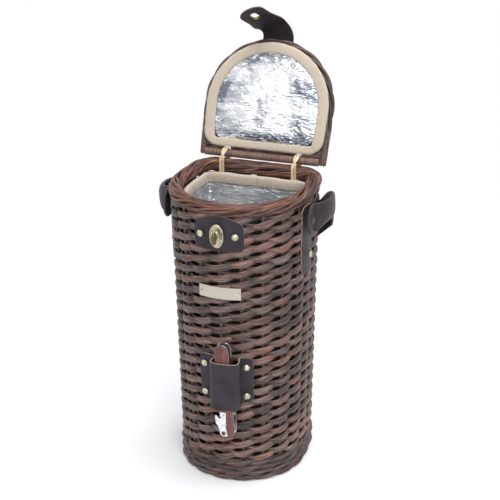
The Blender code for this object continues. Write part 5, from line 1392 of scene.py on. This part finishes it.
def strap_piece():
    """The strap with its slot cut, bent to where it rests."""
    line, half = strap_middle()
    along = unit(np.gradient(line, axis=0))
    normal = np.column_stack([along[:, 1], -along[:, 0]])
    share = np.sort(np.concatenate([np.linspace(-1, 1, 17), [-0.97, 0.97]]))
    back = np.zeros((len(line), len(share), 3))
    back[..., 0] = half[:, None] * share
    back[..., 1:] = (line + normal * STRAP_THICK / 2)[:, None]
    # Painted shade: the underside has a tone of 0.1, and so has the face from the root to the bend, rows
    # 0 to 36; the face is plain from row 48.
    over = np.interp(np.arange(len(line)), [0, 36, 48, len(line)], [0.1, 0.1, 0.5, 0.5])[:, None]
    sheet = sheet_parts(back, STRAP_THICK, 1.0, groove=0.0002, cut_edge=0.5, under=0.1, over=over)
    piece = make_piece("latch_strap_leather", sheet, HIDE_SURFACE, weld=1e-6)
    shape = slot_outline(SLOT_WIDTH + 2 * EYELET_WALL, SLOT_LENGTH + 2 * EYELET_WALL)
    rings = np.array([[(x * share, STRAP_Y + side, LATCH + z * share) for x, z in shape]
                      for side, share in ((-0.01, 0.01), (-0.01, 1), (-0.005, 1), (0.005, 1),
                                          (0.01, 1), (0.01, 0.01))])
    cutter = make_piece("slot_cutter", [part(rings, close_columns=True)], HIDE_SURFACE)
    hole = piece.modifiers.new("slot", "BOOLEAN")
    hole.operation, hole.solver, hole.object = "DIFFERENCE", "EXACT", cutter
    mesh = bpy.data.meshes.new_from_object(piece.evaluated_get(bpy.context.evaluated_depsgraph_get()))
    piece.modifiers.clear()
    piece.data = mesh
    bpy.data.objects.remove(cutter)
    write_points(mesh, flexed(opened(read_points(mesh).astype(float))))
    return piece


latch_strap = strap_piece()
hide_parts("latch_strap", "latch_strap_tab")
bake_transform(latch_strap)
PIECES[latch_strap.name] = len(latch_strap.data.polygons)
print("straps:", PIECES["carry_strap_leather"], PIECES["latch_strap_leather"], "faces")

# %% [markdown]
# ## Brass
# The rivets, studs and the lock are turned: a profile of radius and height goes round an axis. The
# rivets have a low collar and a dome, and the lock's oval plate has a raised lip.

# %% Rivets, studs, eyelet and lock
DOME = ((0.3, 0.0), (1.0, 0.0), (1.03, 0.18), (0.98, 0.34), (0.86, 0.42), (0.80, 0.50),
        (0.72, 0.68), (0.55, 0.86), (0.32, 0.97), (0.02, 1.0))
LOCK_OVAL = ((0.3, 0.0), (1.0, 0.0), (1.0, 0.35), (0.985, 0.62), (0.95, 0.85), (0.90, 0.95),
             (0.85, 0.85), (0.81, 0.62), (0.76, 0.55), (0.40, 0.60), (0.38, 0.95), (0.34, 1.30),
             (0.30, 1.42), (0.02, 1.45))
SIDES = (-1, 1)


def rivet(place, axis, radius=0.0036, rise=0.0018, profile=DOME):
    """One domed rivet head."""
    return turned([(r * radius, h * rise) for r, h in profile], place, axis)


def wall_rivet(arc, height, stand, radius=0.0036, rise=0.0018):
    """A rivet head that stands on something on the wall."""
    place, normal = on_wall(arc, height, stand)
    return rivet(place, normal, radius, rise)


def brass_piece(name, parts, body, *nodes, surface=BRASS):
    """A brass piece and the nodes that it stands for."""
    return add_piece(name, parts, surface, body, "antique_brass", *nodes, sharp=35)


on_leather = 2 * GAP + LEATHER - 0.0002
brass_piece("latch_rivets", [wall_rivet(side * LATCH_RIVET_SPAN / 2, LATCH, on_leather)
                             for side in SIDES], "basket", "latch_rivet_left", "latch_rivet_right")
brass_piece("sleeve_rivets", [wall_rivet(SLEEVE_SHIFT + side * SLEEVE_RIVET_SPAN / 2, z, on_leather)
                              for side in SIDES for z in (0.1495, 0.1135)],
            "basket", "sleeve_rivet_upper_left", "sleeve_rivet_upper_right",
            "sleeve_rivet_lower_left", "sleeve_rivet_lower_right")
tab_z = HEIGHT - 0.074
tab_arc = SIDE_ARC * float(level_scale(tab_z)) - 0.006
brass_piece("side_tab_rivets", [wall_rivet(side * tab_arc, tab_z, on_leather) for side in SIDES],
            "basket", "strap_tab_rivet_left", "strap_tab_rivet_right")
stud = carry_root() + (CARRY_THICK / 2 + GAP / 2, 0, 0)
brass_piece("strap_studs", [rivet(stud * (side, 1, 1), (side, 0, 0), 0.0042) for side in SIDES],
            "basket", "strap_stud_left", "strap_stud_right", surface=OLD_BRASS)
tab_rivets = [rivet((side * 0.010, LID_FRONT + 0.024, STRAP_Z + STRAP_THICK / 2), (0, 0, 1))
              for side in SIDES]
brass_piece("lid_tab_rivets", open_parts(tab_rivets), "lid", "tab_rivet_left", "tab_rivet_right")

lock, front = (0, LOCK_Y, LATCH), (0, -1, 0)
oval = turned([(r * 0.0135, h * OVAL_RISE) for r, h in LOCK_OVAL], lock, front, flat=16 / 27, sides=48)
brass_piece("lock_oval", [oval], "basket", "turn_lock_plate")
neck = OVAL_RISE + EYELET_RISE + PLAY + STRAP_THICK + 0.0006 + 2 * GAP + 0.0005
KNOB = ((0.2, 0), (0.9, 0), (1.0, 0.0005), (1.0, 0.0018), (0.94, 0.0028), (0.78, 0.0036),
        (0.5, 0.0040), (0.02, 0.0041))
bar = turned([(r * 0.0072, neck + h) for r, h in KNOB], lock, front, flat=5.6 / 14.4, sides=40)
stem = turned([(0.0003, 0.0019), (0.0025, 0.0020), (0.0025, neck + 0.0002), (0.0003, neck + 0.0003)],
              lock, front)
brass_piece("lock_knob", [bar, stem], "turn_knob", "turn_knob", surface=OLD_BRASS)


def eyelet_parts():
    """The eyelet in the strap's slot, opened and turned back with it."""
    face = STRAP_Y - STRAP_THICK / 2
    profile = [(0.0, STRAP_THICK), (0.0012, STRAP_THICK), (0.0012, -GAP), (0.0020, -GAP),
               (0.0022, -0.0005), (0.0018, -0.0009), (0.0007, -0.0009), (0.0001, -0.0005)]
    grid = opened([[(x, face + rise, z + LATCH)
                    for x, z in slot_outline(SLOT_WIDTH + 2 * grow, SLOT_LENGTH + 2 * grow, 32)]
                   for grow, rise in profile])
    turn = np.full(grid.shape[:2], -FLEX_TURN)
    return [part(turn_about(grid, FLEX_PLACE, FLEX_AXIS, turn), True, True)]


brass_piece("slot_eyelet", eyelet_parts(), "latch_strap", "strap_eyelet", surface=OLD_BRASS)


NAMEPLATE_Z, NAMEPLATE_HALF, NAMEPLATE_THICK = HEIGHT - 0.102, 0.0242, 0.001


def nameplate_parts():
    """The bare nameplate, bent to the wall, with a raised lip round its face."""
    arcs = np.linspace(-NAMEPLATE_HALF, NAMEPLATE_HALF, 41)
    back = wall_sheet(arcs, NAMEPLATE_Z - 0.007, NAMEPLATE_Z + 0.007, 81, 41)
    return sheet_parts(back, NAMEPLATE_THICK, -1.0, bevel=0.0007, drop=0.0004, groove=0.00028, bulge=0.0)


brass_piece("bare_nameplate", nameplate_parts(), "basket", "nameplate", surface=PLATE_BRASS)
on_plate = 2 * GAP + NAMEPLATE_THICK - 0.0001
brass_piece("nameplate_pins", [wall_rivet(side * (NAMEPLATE_HALF - 0.003), NAMEPLATE_Z, on_plate,
                                          0.0011, 0.0006) for side in SIDES],
            "basket", "nameplate_pin_left", "nameplate_pin_right")
print("brass ready")

# %% [markdown]
# ## The corkscrew
# The folded corkscrew keeps the part's shapes. Copies of its plates are merged, and a small bevel
# rounds their edges so that they catch the light.

# %% Corkscrew


def softened(node_name, name, material, width, body, slot):
    """A copy of one of the part's plates with merged points and bevelled edges."""
    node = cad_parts[node_name]
    mesh = node.data.copy()
    mesh.name = name
    work = bmesh.new()
    work.from_mesh(mesh)
    bmesh.ops.remove_doubles(work, verts=work.verts, dist=1e-6)
    bmesh.ops.dissolve_limit(work, angle_limit=math.radians(2), verts=work.verts, edges=work.edges)
    work.to_mesh(mesh)
    work.free()
    mesh.materials.clear()
    mesh.materials.append(material)
    piece = bpy.data.objects.new(name, mesh)
    bpy.context.collection.objects.link(piece)
    bevel = piece.modifiers.new("soft_edges", "BEVEL")
    bevel.width, bevel.segments, bevel.limit_method = width, 3, "ANGLE"
    mesh.shade_smooth()
    mesh.set_sharp_from_angle(angle=math.radians(50))
    return place_piece(piece, body, slot, node_name)


softened("corkscrew_channel", "channel_steel", STEEL, 0.00025, "corkscrew", "polished_steel")
softened("corkscrew_lever", "lever_steel", STEEL, 0.0004, "corkscrew_lever", "polished_steel")
softened("corkscrew_scale_front", "front_scale_wood", WOOD, 0.0006, "corkscrew", "red_wood")
softened("corkscrew_scale_back", "back_scale_wood", WOOD, 0.0006, "corkscrew", "red_wood")
for name in ("worm", "blade", "pin_lever", "pin_worm", "pin_blade"):
    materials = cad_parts["corkscrew_" + name].data.materials
    materials.clear()
    materials.append(PIN_METAL if "pin" in name else STEEL)
print("corkscrew softened")

# %% [markdown]
# ## Camera, floor and light
# The camera stands 19.5 degrees to the right of the front and looks down by 23 degrees. The room is
# plain and white. The floor is white too, so only the soft shadow shows.

# %% Camera and stage
camera = bpy.data.objects.new("camera", bpy.data.cameras.new("camera"))
camera.data.sensor_width, camera.data.lens = 36.0, 97.83
right, up = Vector((0.94377, 0.33052, -0.00770)), Vector((-0.12353, 0.37415, 0.91910))
back = Vector((0.30666, -0.86647, 0.39394))
place = Vector((0.47506, -1.31209, 0.85750))
camera.matrix_world = Matrix(((right.x, up.x, back.x, place.x), (right.y, up.y, back.y, place.y),
                              (right.z, up.z, back.z, place.z), (0, 0, 0, 1)))
bpy.context.collection.objects.link(camera)
bpy.context.scene.camera = camera


def stage_floor():
    """A wide white floor that takes a soft shadow and clears into the white room further out."""
    material = bpy.data.materials.new("studio_floor")
    material.use_nodes = True
    tree = material.node_tree
    shader = tree.nodes["Principled BSDF"]
    where = wire(tree, "ShaderNodeTexCoord").outputs["Object"]
    speckle = noise(tree, where, 3.0, 2.0)
    white = mix_colour(tree, speckle, (0.94, 0.95, 0.97, 1), (0.97, 0.98, 1.0, 1))
    tree.links.new(white, shader.inputs["Base Color"])
    shader.inputs["Roughness"].default_value = 0.9
    shader.inputs["Specular IOR Level"].default_value = 0.0
    flat = wire(tree, "ShaderNodeVectorMath", {0: where}, operation="LENGTH").outputs["Value"]
    clear = wire(tree, "ShaderNodeBsdfTransparent").outputs[0]
    sockets = {0: remap(tree, flat, 0.35, 0.9), 1: shader.outputs[0], 2: clear}
    mixed = wire(tree, "ShaderNodeMixShader", sockets).outputs[0]
    tree.links.new(mixed, tree.nodes["Material Output"].inputs["Surface"])
    share = np.linspace(-1, 1, 9)
    grid = stacked(share[None, :] * 6, share[:, None] * 6, -0.0002)
    floor = make_piece("floor", [part(grid)], material)
    floor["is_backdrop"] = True


def area_lamp(name, place, target, size, power, colour=(1, 1, 1)):
    """A soft square lamp that looks at a point."""
    lamp = bpy.data.lights.new(name, "AREA")
    lamp.shape, lamp.size, lamp.size_y = "RECTANGLE", size[0], size[1]
    lamp.energy, lamp.color = power, colour
    item = bpy.data.objects.new(name, lamp)
    item.location = place
    item.rotation_euler = (Vector(target) - Vector(place)).to_track_quat("-Z", "Y").to_euler()
    bpy.context.collection.objects.link(item)


def studio_room(ambient=0.46):
    """White to the camera and in reflections, and a softer level for the light that it gives."""
    world = bpy.data.worlds.new("studio")
    world.use_nodes = True
    tree = world.node_tree
    tree.nodes.clear()
    path = wire(tree, "ShaderNodeLightPath").outputs
    seen = calc(tree, "MAXIMUM", path["Is Camera Ray"], path["Is Glossy Ray"])
    strength = calc(tree, "MULTIPLY_ADD", seen, 1.0 - ambient, ambient)
    shade = wire(tree, "ShaderNodeBackground", {"Color": (1, 1, 1, 1), "Strength": strength})
    tree.links.new(shade.outputs[0], wire(tree, "ShaderNodeOutputWorld").inputs["Surface"])
    bpy.context.scene.world = world


stage_floor()
studio_room()
area_lamp("key", (0.75, -1.45, 1.35), (0, 0, 0.25), (1.1, 1.3), 19)
area_lamp("top", (0.3, 0.1, 2.0), (0, 0, 0.1), (1.6, 1.6), 32)
area_lamp("fill", (-1.6, -0.7, 0.9), (0, 0, 0.25), (0.9, 1.2), 2.5, (0.93, 0.96, 1.0))
scene = bpy.context.scene
scene.view_settings.view_transform = "Standard"
scene.view_settings.look = "None"
print("camera and studio ready")

# %% [markdown]
# ## The size and the faces
# The sizes of the part's box and of the drawn object's box are printed, and the number of faces.

# %% Sizes and finish
drawn_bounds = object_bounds()
for label, (low, high) in (("part", loaded_bounds), ("drawn", drawn_bounds)):
    print(label, " x ".join("%.1f" % (1000 * (b - a)) for a, b in zip(low, high)), "mm")
print("faces:", sum(PIECES.values()))
